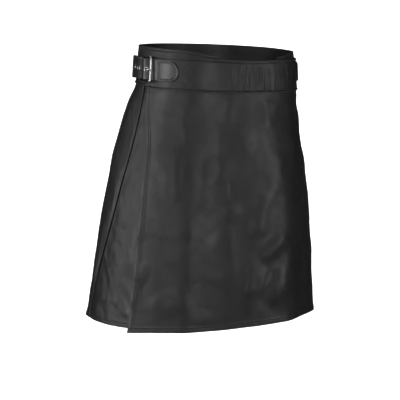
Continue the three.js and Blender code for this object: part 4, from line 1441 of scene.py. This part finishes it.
def eyelet_frames(sign):
    """For each eyelet its middle, the strap's running direction there, the direction outward and
    the one across the strap."""
    frames = []
    for along in EYELET_FIRST + EYELET_STEP * np.arange(EYELETS):
        near = np.array([along - NUDGE, along + NUDGE])
        ends = place(sign * near, STRAP_LEVEL, strap_out(near))
        run = unit(ends[1] - ends[0])
        foot, head = place(sign * along, STRAP_LEVEL + np.array([-EYELET_R, EYELET_R]),
                           strap_out(along))
        normal = unit(np.cross(run, head - foot)) * sign
        frames.append((ends.mean(axis=0), run, normal, np.cross(normal, run)))
    return frames


def root_seam():
    """The row of stitching round the strap's root, as along and across: the outline moved in."""
    outline = strap_outline()[1:OUTLINE_RUN[0][-1] + 2]
    run = unit(np.gradient(outline, axis=0))
    upper = outline + STRAP_STITCH_INSET * np.stack([run[:, 1], -run[:, 0]], axis=-1)
    upper = upper[(upper[:, 0] > ROOT_START + STRAP_STITCH_INSET) & (upper[:, 1] > 0)]
    upper = np.concatenate([upper, [(ROOT_END, STRAP_WIDTH / 2 - STRAP_STITCH_INSET)]])
    return np.concatenate([(upper * (1, -1))[::-1], upper])


def strap_grid():
    """The strap's mesh lines as along and across: close at its edges, stitching and eyelets."""
    near = np.array(RIM_STEPS)
    along = np.concatenate([ROOT_START + near, stretches(GRID_RUN), TIP_END - near[::-1]])
    half = strap_half_width(along)
    across = spread(2 * half, GRID_ACROSS, STRAP_STEPS) - half[:, None]
    narrow = half < STRAP_STEPS[-1] + 2
    across[narrow] = (half[:, None] * np.linspace(-1, 1, across.shape[1]))[narrow]
    return along[:, None] + 0 * across, across


def make_strap(label, sign):
    """A strap: sewn on by its rounded root, burnished at its edges, pierced for the eyelets."""
    name, half = f"strap_{label}", mm("strap_wall") / 2
    along, across = strap_grid()
    edge = distance_to(strap_outline(), along, across)
    thick = rim(edge, STRAP_ROUND)
    outline_groove = (bell(edge - STRAP_STITCH_INSET, STRAP_GROOVE)
                      * ease((ROOT_END - along) / STRAP_GROOVE + 1))
    cross_groove = (bell(along - ROOT_END, STRAP_GROOVE)
                    * ease(edge - STRAP_STITCH_INSET + 1.2))
    groove = mm("stitch_groove") * np.maximum(outline_groove, cross_groove)
    piece = shell(f"{name}_leather", strap_spot(sign, along, across, -half * thick),
                  strap_spot(sign, along, across, (half - groove) * thick),
                  finish_of("strap_leather"), wear_and_highlight_share(edge, STRAP_RUB))
    drills = [tube("drill", centre + np.outer(DRILL_ENDS, normal), EYELET_HOLE_R, DRILL_SIDES,
                   up, finish_of("strap_leather")) for centre, _, normal, up in eyelet_frames(sign)]
    fit(cut(piece, drills), "strap_leather", name)
    across = np.linspace(-CROSSING_REACH, CROSSING_REACH, 30)
    crossing = np.stack([np.full(30, float(ROOT_END)), across], axis=-1)
    lines = []
    for seam in (root_seam(), crossing):
        foot, head = (strap_spot(sign, *seam.T, half - mm("stitch_groove") + rise)
                      for rise in (0, 1))
        lines.append((foot, unit(head - foot)))
    stitching(f"{name}_stitches", lines, "strap_leather")


# An eyelet's section, as radius and height over the strap: a domed flange and a barrel that goes
# down through the leather.
EYELET_SECTION = np.array([
    (4.2, 0), (4.24, 0.14), (4.16, 0.34), (3.95, 0.55), (3.65, 0.72), (3.35, 0.78), (3.05, 0.72),
    (2.78, 0.52), (2.6, 0.25), (2.53, -0.1), (2.51, -1.2), (2.52, -2.5), (2.6, -2.56),
    (2.65, -2.5), (2.66, -1.2), (2.68, -0.06), (2.8, 0)])
EYELET_SIDES = 44
EYELET_PROUD = 0.05


def make_eyelets(label, sign):
    """The four nickel eyelets of a strap, each turned from its section."""
    a = np.linspace(0, 2 * np.pi, EYELET_SIDES, endpoint=False)
    radius, height = EYELET_SECTION.T
    size = EYELET_R / radius[0]
    rise = height + mm("strap_wall") / 2 + EYELET_PROUD
    faces = grid_faces(ring_numbers(len(radius), EYELET_SIDES, closed=True))
    for number, (centre, run, normal, up) in enumerate(eyelet_frames(sign), 1):
        spoke = np.cos(a)[:, None] * run + np.sin(a)[:, None] * up
        points = centre + size * radius[:, None, None] * spoke + rise[:, None, None] * normal
        points = points.reshape(-1, 3)
        name = f"eyelet_{number}_{label}"
        piece = make_object(f"{name}_ring", points, outward(points, faces), finish_of("nickel"))
        fit(piece, "nickel", name)


FRAME_CORNER = 3
KEEPER_CORNER = 0.9
SIDE_POINTS = 12
BAR_ENDS_AT = 0.06
BAR_NARROWS = 0.3


def rounded_loop(left, right, foot, head, corner, steps):
    """A closed path round a rectangle: a quarter turn at each corner, even points between."""
    quarter = np.radians(np.linspace(0, 90, steps))
    left, right, foot, head = left + corner, right - corner, foot + corner, head - corner
    centres = ((right, foot), (right, head), (left, head), (left, foot))
    turns = [np.array(centre) + corner * np.stack([np.cos(q), np.sin(q)], axis=-1)
             for centre, q in zip(centres, (quarter + np.radians(s) for s in (-90, 0, 90, 180)))]
    path = []
    for turn, following in zip(turns, turns[1:] + turns[:1]):
        share = np.linspace(0, 1, SIDE_POINTS + 2)[1:-1, None]
        path += [turn, mix(turn[-1], following[0], share)]
    return np.concatenate(path)


def make_buckle_frame(label, sign):
    """A bent and brazed wire frame with rounded corners, leaning out a little at its foot; its
    outer bar is wider."""
    wire, at = mm("wire_radius"), strap_levels()
    rail = BUCKLE_HEIGHT / 2 - wire
    along, across = rounded_loop(BAR_AT, HINGE_AT, -rail, rail, FRAME_CORNER, 9).T
    share = (along - BAR_AT) / (HINGE_AT - BAR_AT)
    out = mix(at["bar"], at["hinge"], share) + (rail - across) * BUCKLE_LEAN * (1 - share)
    path = place(sign * along, STRAP_LEVEL + across, out)
    name = f"buckle_frame_{label}"
    piece = tube(f"{name}_wire", path, wire, 28, path.mean(axis=0) * (1, 1, 0),
                 finish_of("nickel"), closed=True,
                 widen=mix(BAR_WIDER, 1, ease((share - BAR_ENDS_AT) / BAR_NARROWS)))
    fit(piece, "nickel", name)


# The prong's stem from its loop to its tip: offsets along and out from the hinge bar's middle,
# from the strap at its eyelet and from the prong's own height over the outer bar.
STEM_AT_HINGE = ((-4.2, 2.1), (-11, 1.6))
STEM_AT_EYELET = ((7, -4.2), (3.1, -3.4), (0.9, -1.2), (-1.1, 1.8))
STEM_AT_BAR = ((5.6, 1.4), (1, 0.4), (-4, -0.5))
LOOP_OPENS = -172
LOOP_ENDS = 112
PRONG_TAPER = 0.3


def make_prong(label, sign):
    """The prong: bent once round the hinge bar, up square through the strap and out over the
    outer bar, thinner towards its tip."""
    wire, half, at = mm("wire_radius"), mm("prong_thick") / 2, strap_levels()
    ring, hinge = wire + GAP + half, at["hinge"]
    over_bar = at["bar"] + (BUCKLE_HEIGHT / 2 - wire) * BUCKLE_LEAN + ring
    turn = np.radians(np.linspace(LOOP_OPENS, LOOP_ENDS, 40))
    loop = np.stack([HINGE_AT + ring * np.cos(turn), hinge + ring * np.sin(turn), 0 * turn],
                    axis=-1)
    stretches = ((HINGE_AT, hinge, STEM_AT_HINGE),
                 (EYELET_FIRST, float(strap_out(EYELET_FIRST)), STEM_AT_EYELET),
                 (BAR_AT, over_bar, STEM_AT_BAR))
    stem = [(along + ahead, out + rise, 0) for along, out, offsets in stretches
            for ahead, rise in offsets]
    stem = through([(*loop[-1][:2], 0), *stem], 60)[1:]
    spots = np.concatenate([loop, stem])
    path = place(sign * spots[:, 0], STRAP_LEVEL, spots[:, 1])
    taper = 1 - PRONG_TAPER * np.linspace(0, 1, len(stem)) ** 3
    name = f"prong_{label}"
    piece = tube(f"{name}_wire", path, half * np.concatenate([np.ones(len(loop)), taper]), 20,
                 (0, 0, 1), finish_of("nickel"))
    fit(piece, "nickel", name)


BEND_POINTS = 25
FLAP_POINTS = 22
LEAF_POINTS = 36
END_CLEAR = 1.5


def chape_section(at):
    """The chape's middle line as along and out, from its upper end round the hinge bar to its
    sewn end, with mesh lines close at both."""
    wall = mm("chape_wall")
    lower, hinge = at["wrap_face"] + STRAP_GAP + wall / 2, at["hinge"]
    upper, turn = lower + wall + GAP, mm("wire_radius") + GAP + wall / 2
    bend = np.pi * np.linspace(0.5, 1.5, BEND_POINTS)
    bend = np.stack([HINGE_AT + turn * np.cos(bend), hinge + turn * np.sin(bend)], axis=-1)
    flap = through([(CHAPE_TOP_END, upper, 0), (CHAPE_TOP_END - 6, upper + 0.2, 0),
                    (HINGE_AT + 6, hinge + turn - 0.9, 0), (*bend[0], 0)],
                   FLAP_POINTS)[:-1, :2]
    leaf = np.stack([np.linspace(HINGE_AT + 1, CHAPE_END, LEAF_POINTS),
                     mix(bend[-1][1], lower, ease(np.linspace(0, 5, LEAF_POINTS)))], axis=-1)
    section = np.concatenate([flap, bend, leaf])
    run, near = run_along(section), np.array(RIM_STEPS)
    inner = run[(run > END_CLEAR) & (run < run[-1] - END_CLEAR)]
    at_run = np.concatenate([near, inner, run[-1] - near[::-1]])
    return at_run, read_path(section, run, at_run)


def prong_slot(sign, at):
    """The slot's punch: a long eight-sided hole right through both layers of the chape."""
    reach = mm("wire_radius") + GAP + 1.5 * mm("chape_wall") + 1
    ends = np.array([(sx * (reach - SLOT_WIDTH / 2 * abs(sz)), sz * SLOT_WIDTH / 2)
                     for sx in (-1, 1) for sz in (-1, -0.6, 0, 0.6, 1)])
    corners = [place(sign * (HINGE_AT + ends[:, 0]), STRAP_LEVEL + ends[:, 1], out)
               for out in (at["wrap_face"] + GAP / 2, at["hinge"] + reach)]
    return hull("punch", np.concatenate(corners))


def make_chape(label, sign):
    """The chape: sewn to the inner waistband and folded round the hinge bar, slotted for the
    prong."""
    half, at, name = mm("chape_wall") / 2, strap_levels(), f"chape_{label}"
    run, section = chape_section(at)
    height = spread(CHAPE_WIDTH, 12, RIM_STEPS)[0][:, None]
    level = STRAP_LEVEL - CHAPE_WIDTH / 2 + height
    edge = np.minimum(np.minimum(height, CHAPE_WIDTH - height),
                      np.minimum(run, run[-1] - run)[None, :])
    along, out = (values + 0 * edge for values in section.T)
    thick = half * rim(edge, CHAPE_ROUND)
    sheets = [lifted(on_side(sign), along, level, out, side * thick) for side in (-1, 1)]
    piece = shell(f"{name}_leather", *sheets, finish_of("strap_leather"),
                  wear_and_highlight_share(edge, STRAP_RUB))
    fit(cut(piece, [prong_slot(sign, at)]), "strap_leather", name)
    inset = STRAP_STITCH_INSET
    end, start, side = CHAPE_END - inset, KEEPER_AT + KEEPER_WIDE, CHAPE_WIDTH / 2 - inset
    corners = np.array([(start, -side), (end, -side), (end, side), (start, side)])
    seam = read_path(corners, range(4), np.linspace(0, 3, 61))
    face = at["wrap_face"] + STRAP_GAP + 2 * half
    foot, head = (place(sign * seam[:, 0], STRAP_LEVEL + seam[:, 1], face + rise)
                  for rise in (0, 1))
    stitching(f"{name}_stitches", [(foot, unit(head - foot))], "strap_leather")


def hull(name, points):
    """The closed convex body round some points."""
    mesh = bpy.data.meshes.new(name)
    bm = bmesh.new()
    for point in points / MM:
        bm.verts.new(point)
    found = bmesh.ops.convex_hull(bm, input=bm.verts)
    spare = {item for item in found["geom_interior"] + found["geom_unused"]
             if isinstance(item, bmesh.types.BMVert)}
    bmesh.ops.delete(bm, geom=list(spare), context="VERTS")
    bm.to_mesh(mesh)
    bm.free()
    return add_object(name, mesh)


KEEPER_BOW = 0.5
KEEPER_DOME = 0.25


def make_keeper(label, sign):
    """The keeper: a narrow loop of leather round the strap, a little bowed over it."""
    wall, at, name = mm("keeper_wall"), strap_levels(), f"keeper_{label}"
    half = STRAP_WIDTH / 2 + GAP + wall / 2
    low = at["on_chape"] + wall / 2
    high = at["through_keeper"] + mm("strap_wall") / 2 + GAP + wall / 2
    across, out = rounded_loop(-half, half, low, high, KEEPER_CORNER, 7).T
    run_across = np.roll(across, -1) - np.roll(across, 1)
    run_out = np.roll(out, -1) - np.roll(out, 1)
    size = np.hypot(run_across, run_out)
    bow = KEEPER_BOW * np.clip(1 - (across / half) ** 2, 0, 1) * (out > (low + high) / 2)
    width = spread(KEEPER_WIDE, 10, RIM_STEPS)[0][:, None]
    edge = np.minimum(width, KEEPER_WIDE - width)
    domed = KEEPER_DOME * (1 - ((width - KEEPER_WIDE / 2) / KEEPER_WIDE * 2) ** 2)
    thick = wall / 2 * rim(edge, KEEPER_ROUND)
    sheets = [place(sign * (KEEPER_AT - KEEPER_WIDE / 2 + width),
                    STRAP_LEVEL + across + off * run_out / size,
                    out + bow - off * run_across / size) for off in (-thick, thick + domed)]
    piece = shell(f"{name}_leather", *sheets, finish_of("strap_leather"),
                  wear_and_highlight_share(edge + 0 * across, STRAP_RUB), loop=True)
    fit(piece, "strap_leather", name)


FLOOR_AT = -1.05
BACKDROP_RADIUS = 4.2
BACKDROP_HEIGHT = 3.4
BACKDROP_CURVE = 1.2
PHOTO_AZIMUTH = -35
PHOTO_PITCH = 0.1118
PHOTO_DISTANCE = 2.1745
PHOTO_HEIGHT = 0.0054
PHOTO_LENS = 106.146
SENSOR_WIDE = 36
PHOTO_PIXELS = 400
PHOTO_ASIDE_PIXELS = 13.5
CAMERA_NEAR = 0.01
WORLD_GLOW = 0.01
BACKDROP_SIDES = 96
BACKDROP_MIDDLE = 0.02
FLOOR_RINGS = 11
CURVE_RINGS = 24
WALL_RINGS = 8


def make_backdrop():
    """A seamless floor that turns up into a round wall: a lathe of one line."""
    curve = np.linspace(0, np.pi / 2, CURVE_RINGS)
    inner = BACKDROP_RADIUS - BACKDROP_CURVE
    radius = np.concatenate([np.linspace(BACKDROP_MIDDLE, inner, FLOOR_RINGS + 1)[:-1],
                             inner + BACKDROP_CURVE * np.sin(curve),
                             np.full(WALL_RINGS, BACKDROP_RADIUS)])
    wall = np.linspace(BACKDROP_CURVE, BACKDROP_HEIGHT, WALL_RINGS + 1)[1:]
    height = FLOOR_AT + np.concatenate([np.zeros(FLOOR_RINGS),
                                        BACKDROP_CURVE * (1 - np.cos(curve)), wall])
    a = np.linspace(0, 2 * np.pi, BACKDROP_SIDES, endpoint=False)
    points = np.stack([radius[:, None] * np.cos(a), radius[:, None] * np.sin(a),
                       height[:, None] + 0 * a], axis=-1)
    faces = grid_faces(ring_numbers(len(radius), BACKDROP_SIDES))
    backdrop = make_object("backdrop", points.reshape(-1, 3) * MM, faces, painted_backdrop())
    backdrop.visible_glossy = False


def toward(azimuth, elevation):
    """The direction from the kilt to a place round it."""
    a, e = np.radians(azimuth), np.radians(elevation)
    return Vector((np.sin(a) * np.cos(e), -np.cos(a) * np.cos(e), np.sin(e)))


# Soft lights: azimuth and elevation in degrees, width and height in metres, and the brightness
# of the cloth compared with the white of the picture.
SOFTBOXES = (
    ("left_rear", -122, 5, 0.6, 1.8, 2.6),
    ("left", -91, 5, 0.6, 1.8, 4.2),
    ("left_front", -56, 5, 0.6, 1.8, 1.9),
    ("front", -8, 5, 0.8, 1.8, 2.2),
    ("right_front", 40, 5, 0.6, 1.8, 2.4),
    ("left_high", -75, 50, 1.3, 1.0, 1.4),
    ("rear_high", 168, 58, 2.0, 1.2, 2.0),
)
SOFTBOX_DISTANCE = 2.4
SOFTBOX_AIM = Vector((0, 0, -0.2))


def add_softbox(name, azimuth, elevation, width, height, brightness):
    """A rectangular soft light that faces the middle of the kilt; its power is brightness times
    pi times its area."""
    data = bpy.data.lights.new(name, "AREA")
    data.shape = "RECTANGLE"
    data.size, data.size_y = width, height
    data.energy = brightness * np.pi * width * height
    light = add_object(name, data)
    away = toward(azimuth, elevation)
    light.location = SOFTBOX_AIM + away * SOFTBOX_DISTANCE
    light.rotation_mode = "QUATERNION"
    light.rotation_quaternion = away.to_track_quat("Z", "Y")
    light.visible_camera = False


def add_camera():
    """The camera where the photo was taken, with the kilt set aside from the frame's middle."""
    data = bpy.data.cameras.new("photo_camera")
    data.lens = PHOTO_LENS
    data.sensor_width = SENSOR_WIDE
    data.clip_start = CAMERA_NEAR
    camera = add_object("photo_camera", data)
    camera.location = toward(PHOTO_AZIMUTH, 0) * PHOTO_DISTANCE + Vector((0, 0, PHOTO_HEIGHT))
    ahead = -toward(PHOTO_AZIMUTH, np.degrees(PHOTO_PITCH))
    aside = ahead.cross(Vector((0, 0, 1))).normalized()
    focal_pixels = PHOTO_LENS / SENSOR_WIDE * PHOTO_PIXELS
    ahead = ahead - aside * PHOTO_ASIDE_PIXELS / focal_pixels
    camera.rotation_mode = "QUATERNION"
    camera.rotation_quaternion = ahead.to_track_quat("-Z", "Y")
    bpy.context.scene.camera = camera


def make_studio():
    """Backdrop, lights and a camera where the photo was taken."""
    make_backdrop()
    for softbox in SOFTBOXES:
        add_softbox(*softbox)
    scene = bpy.context.scene
    scene.world = bpy.data.worlds.new("studio")
    scene.world.use_nodes = True
    background = scene.world.node_tree.nodes["Background"].inputs
    background["Color"].default_value = (1, 1, 1, 1)
    background["Strength"].default_value = WORLD_GLOW
    scene.view_settings.view_transform = "Standard"
    add_camera()


class KILT_OT_apron(bpy.types.Operator):
    """Builds the front apron and its waistband"""

    bl_idname = "kilt.apron"
    bl_label = "Apron"

    def execute(self, context):
        make_apron_panel()
        make_apron_band()
        return {"FINISHED"}


class KILT_OT_wrap_band(bpy.types.Operator):
    """Builds the inner waistband"""

    bl_idname = "kilt.wrap_band"
    bl_label = "Inner waistband"

    def execute(self, context):
        make_wrap_band()
        return {"FINISHED"}


class KILT_OT_wrap_panels(bpy.types.Operator):
    """Builds the side panels, the pleats and the centre back"""

    bl_idname = "kilt.wrap_panels"
    bl_label = "Side panels and pleats"

    def execute(self, context):
        for label, sign in SIDES:
            make_side_panel(label, sign)
            for index in range(PLEATS_EACH_SIDE):
                make_pleat(index, label, sign)
        make_back_panel()
        return {"FINISHED"}


class KILT_OT_straps(bpy.types.Operator):
    """Builds both straps with their chapes and keepers"""

    bl_idname = "kilt.straps"
    bl_label = "Straps"

    def execute(self, context):
        for label, sign in SIDES:
            make_strap(label, sign)
            make_chape(label, sign)
            make_keeper(label, sign)
        return {"FINISHED"}


class KILT_OT_buckles(bpy.types.Operator):
    """Builds the metal: buckle frames, prongs and eyelets"""

    bl_idname = "kilt.buckles"
    bl_label = "Buckles and eyelets"

    def execute(self, context):
        for label, sign in SIDES:
            make_buckle_frame(label, sign)
            make_prong(label, sign)
            make_eyelets(label, sign)
        return {"FINISHED"}


class KILT_OT_studio(bpy.types.Operator):
    """Sets up backdrop, lights and camera"""

    bl_idname = "kilt.studio"
    bl_label = "Studio"

    def execute(self, context):
        make_studio()
        return {"FINISHED"}


class KILT_PT_sidebar(bpy.types.Panel):
    """The kilt's sizes, colours and building steps"""

    bl_label = "Leather kilt"
    bl_idname = "KILT_PT_sidebar"
    bl_space_type = "VIEW_3D"
    bl_region_type = "UI"
    bl_category = "Kilt"

    def draw(self, context):
        for group in (context.scene.kilt_sizes, context.scene.kilt_colours):
            box = self.layout.box()
            for name in group.bl_rna.properties.keys():
                if name not in ("rna_type", "name"):
                    box.prop(group, name)
        for operator in OPERATORS:
            self.layout.operator(operator.bl_idname)


OPERATORS = (KILT_OT_apron, KILT_OT_wrap_band, KILT_OT_wrap_panels, KILT_OT_straps,
             KILT_OT_buckles, KILT_OT_studio)
CLASSES = (KiltSizes, KiltColours, *OPERATORS, KILT_PT_sidebar)


def register():
    """Registers the classes and the scene's two groups of settings."""
    for item in CLASSES:
        bpy.utils.register_class(item)
    bpy.types.Scene.kilt_sizes = PointerProperty(type=KiltSizes)
    bpy.types.Scene.kilt_colours = PointerProperty(type=KiltColours)


def unregister():
    """Takes the classes and settings away again."""
    del bpy.types.Scene.kilt_colours
    del bpy.types.Scene.kilt_sizes
    for item in reversed(CLASSES):
        bpy.utils.unregister_class(item)


def main():
    """Builds the whole scene."""
    register()
    bpy.ops.kilt.apron()
    bpy.ops.kilt.wrap_band()
    bpy.ops.kilt.wrap_panels()
    bpy.ops.kilt.straps()
    bpy.ops.kilt.buckles()
    bpy.ops.kilt.studio()


if __name__ == "__main__":
    main()
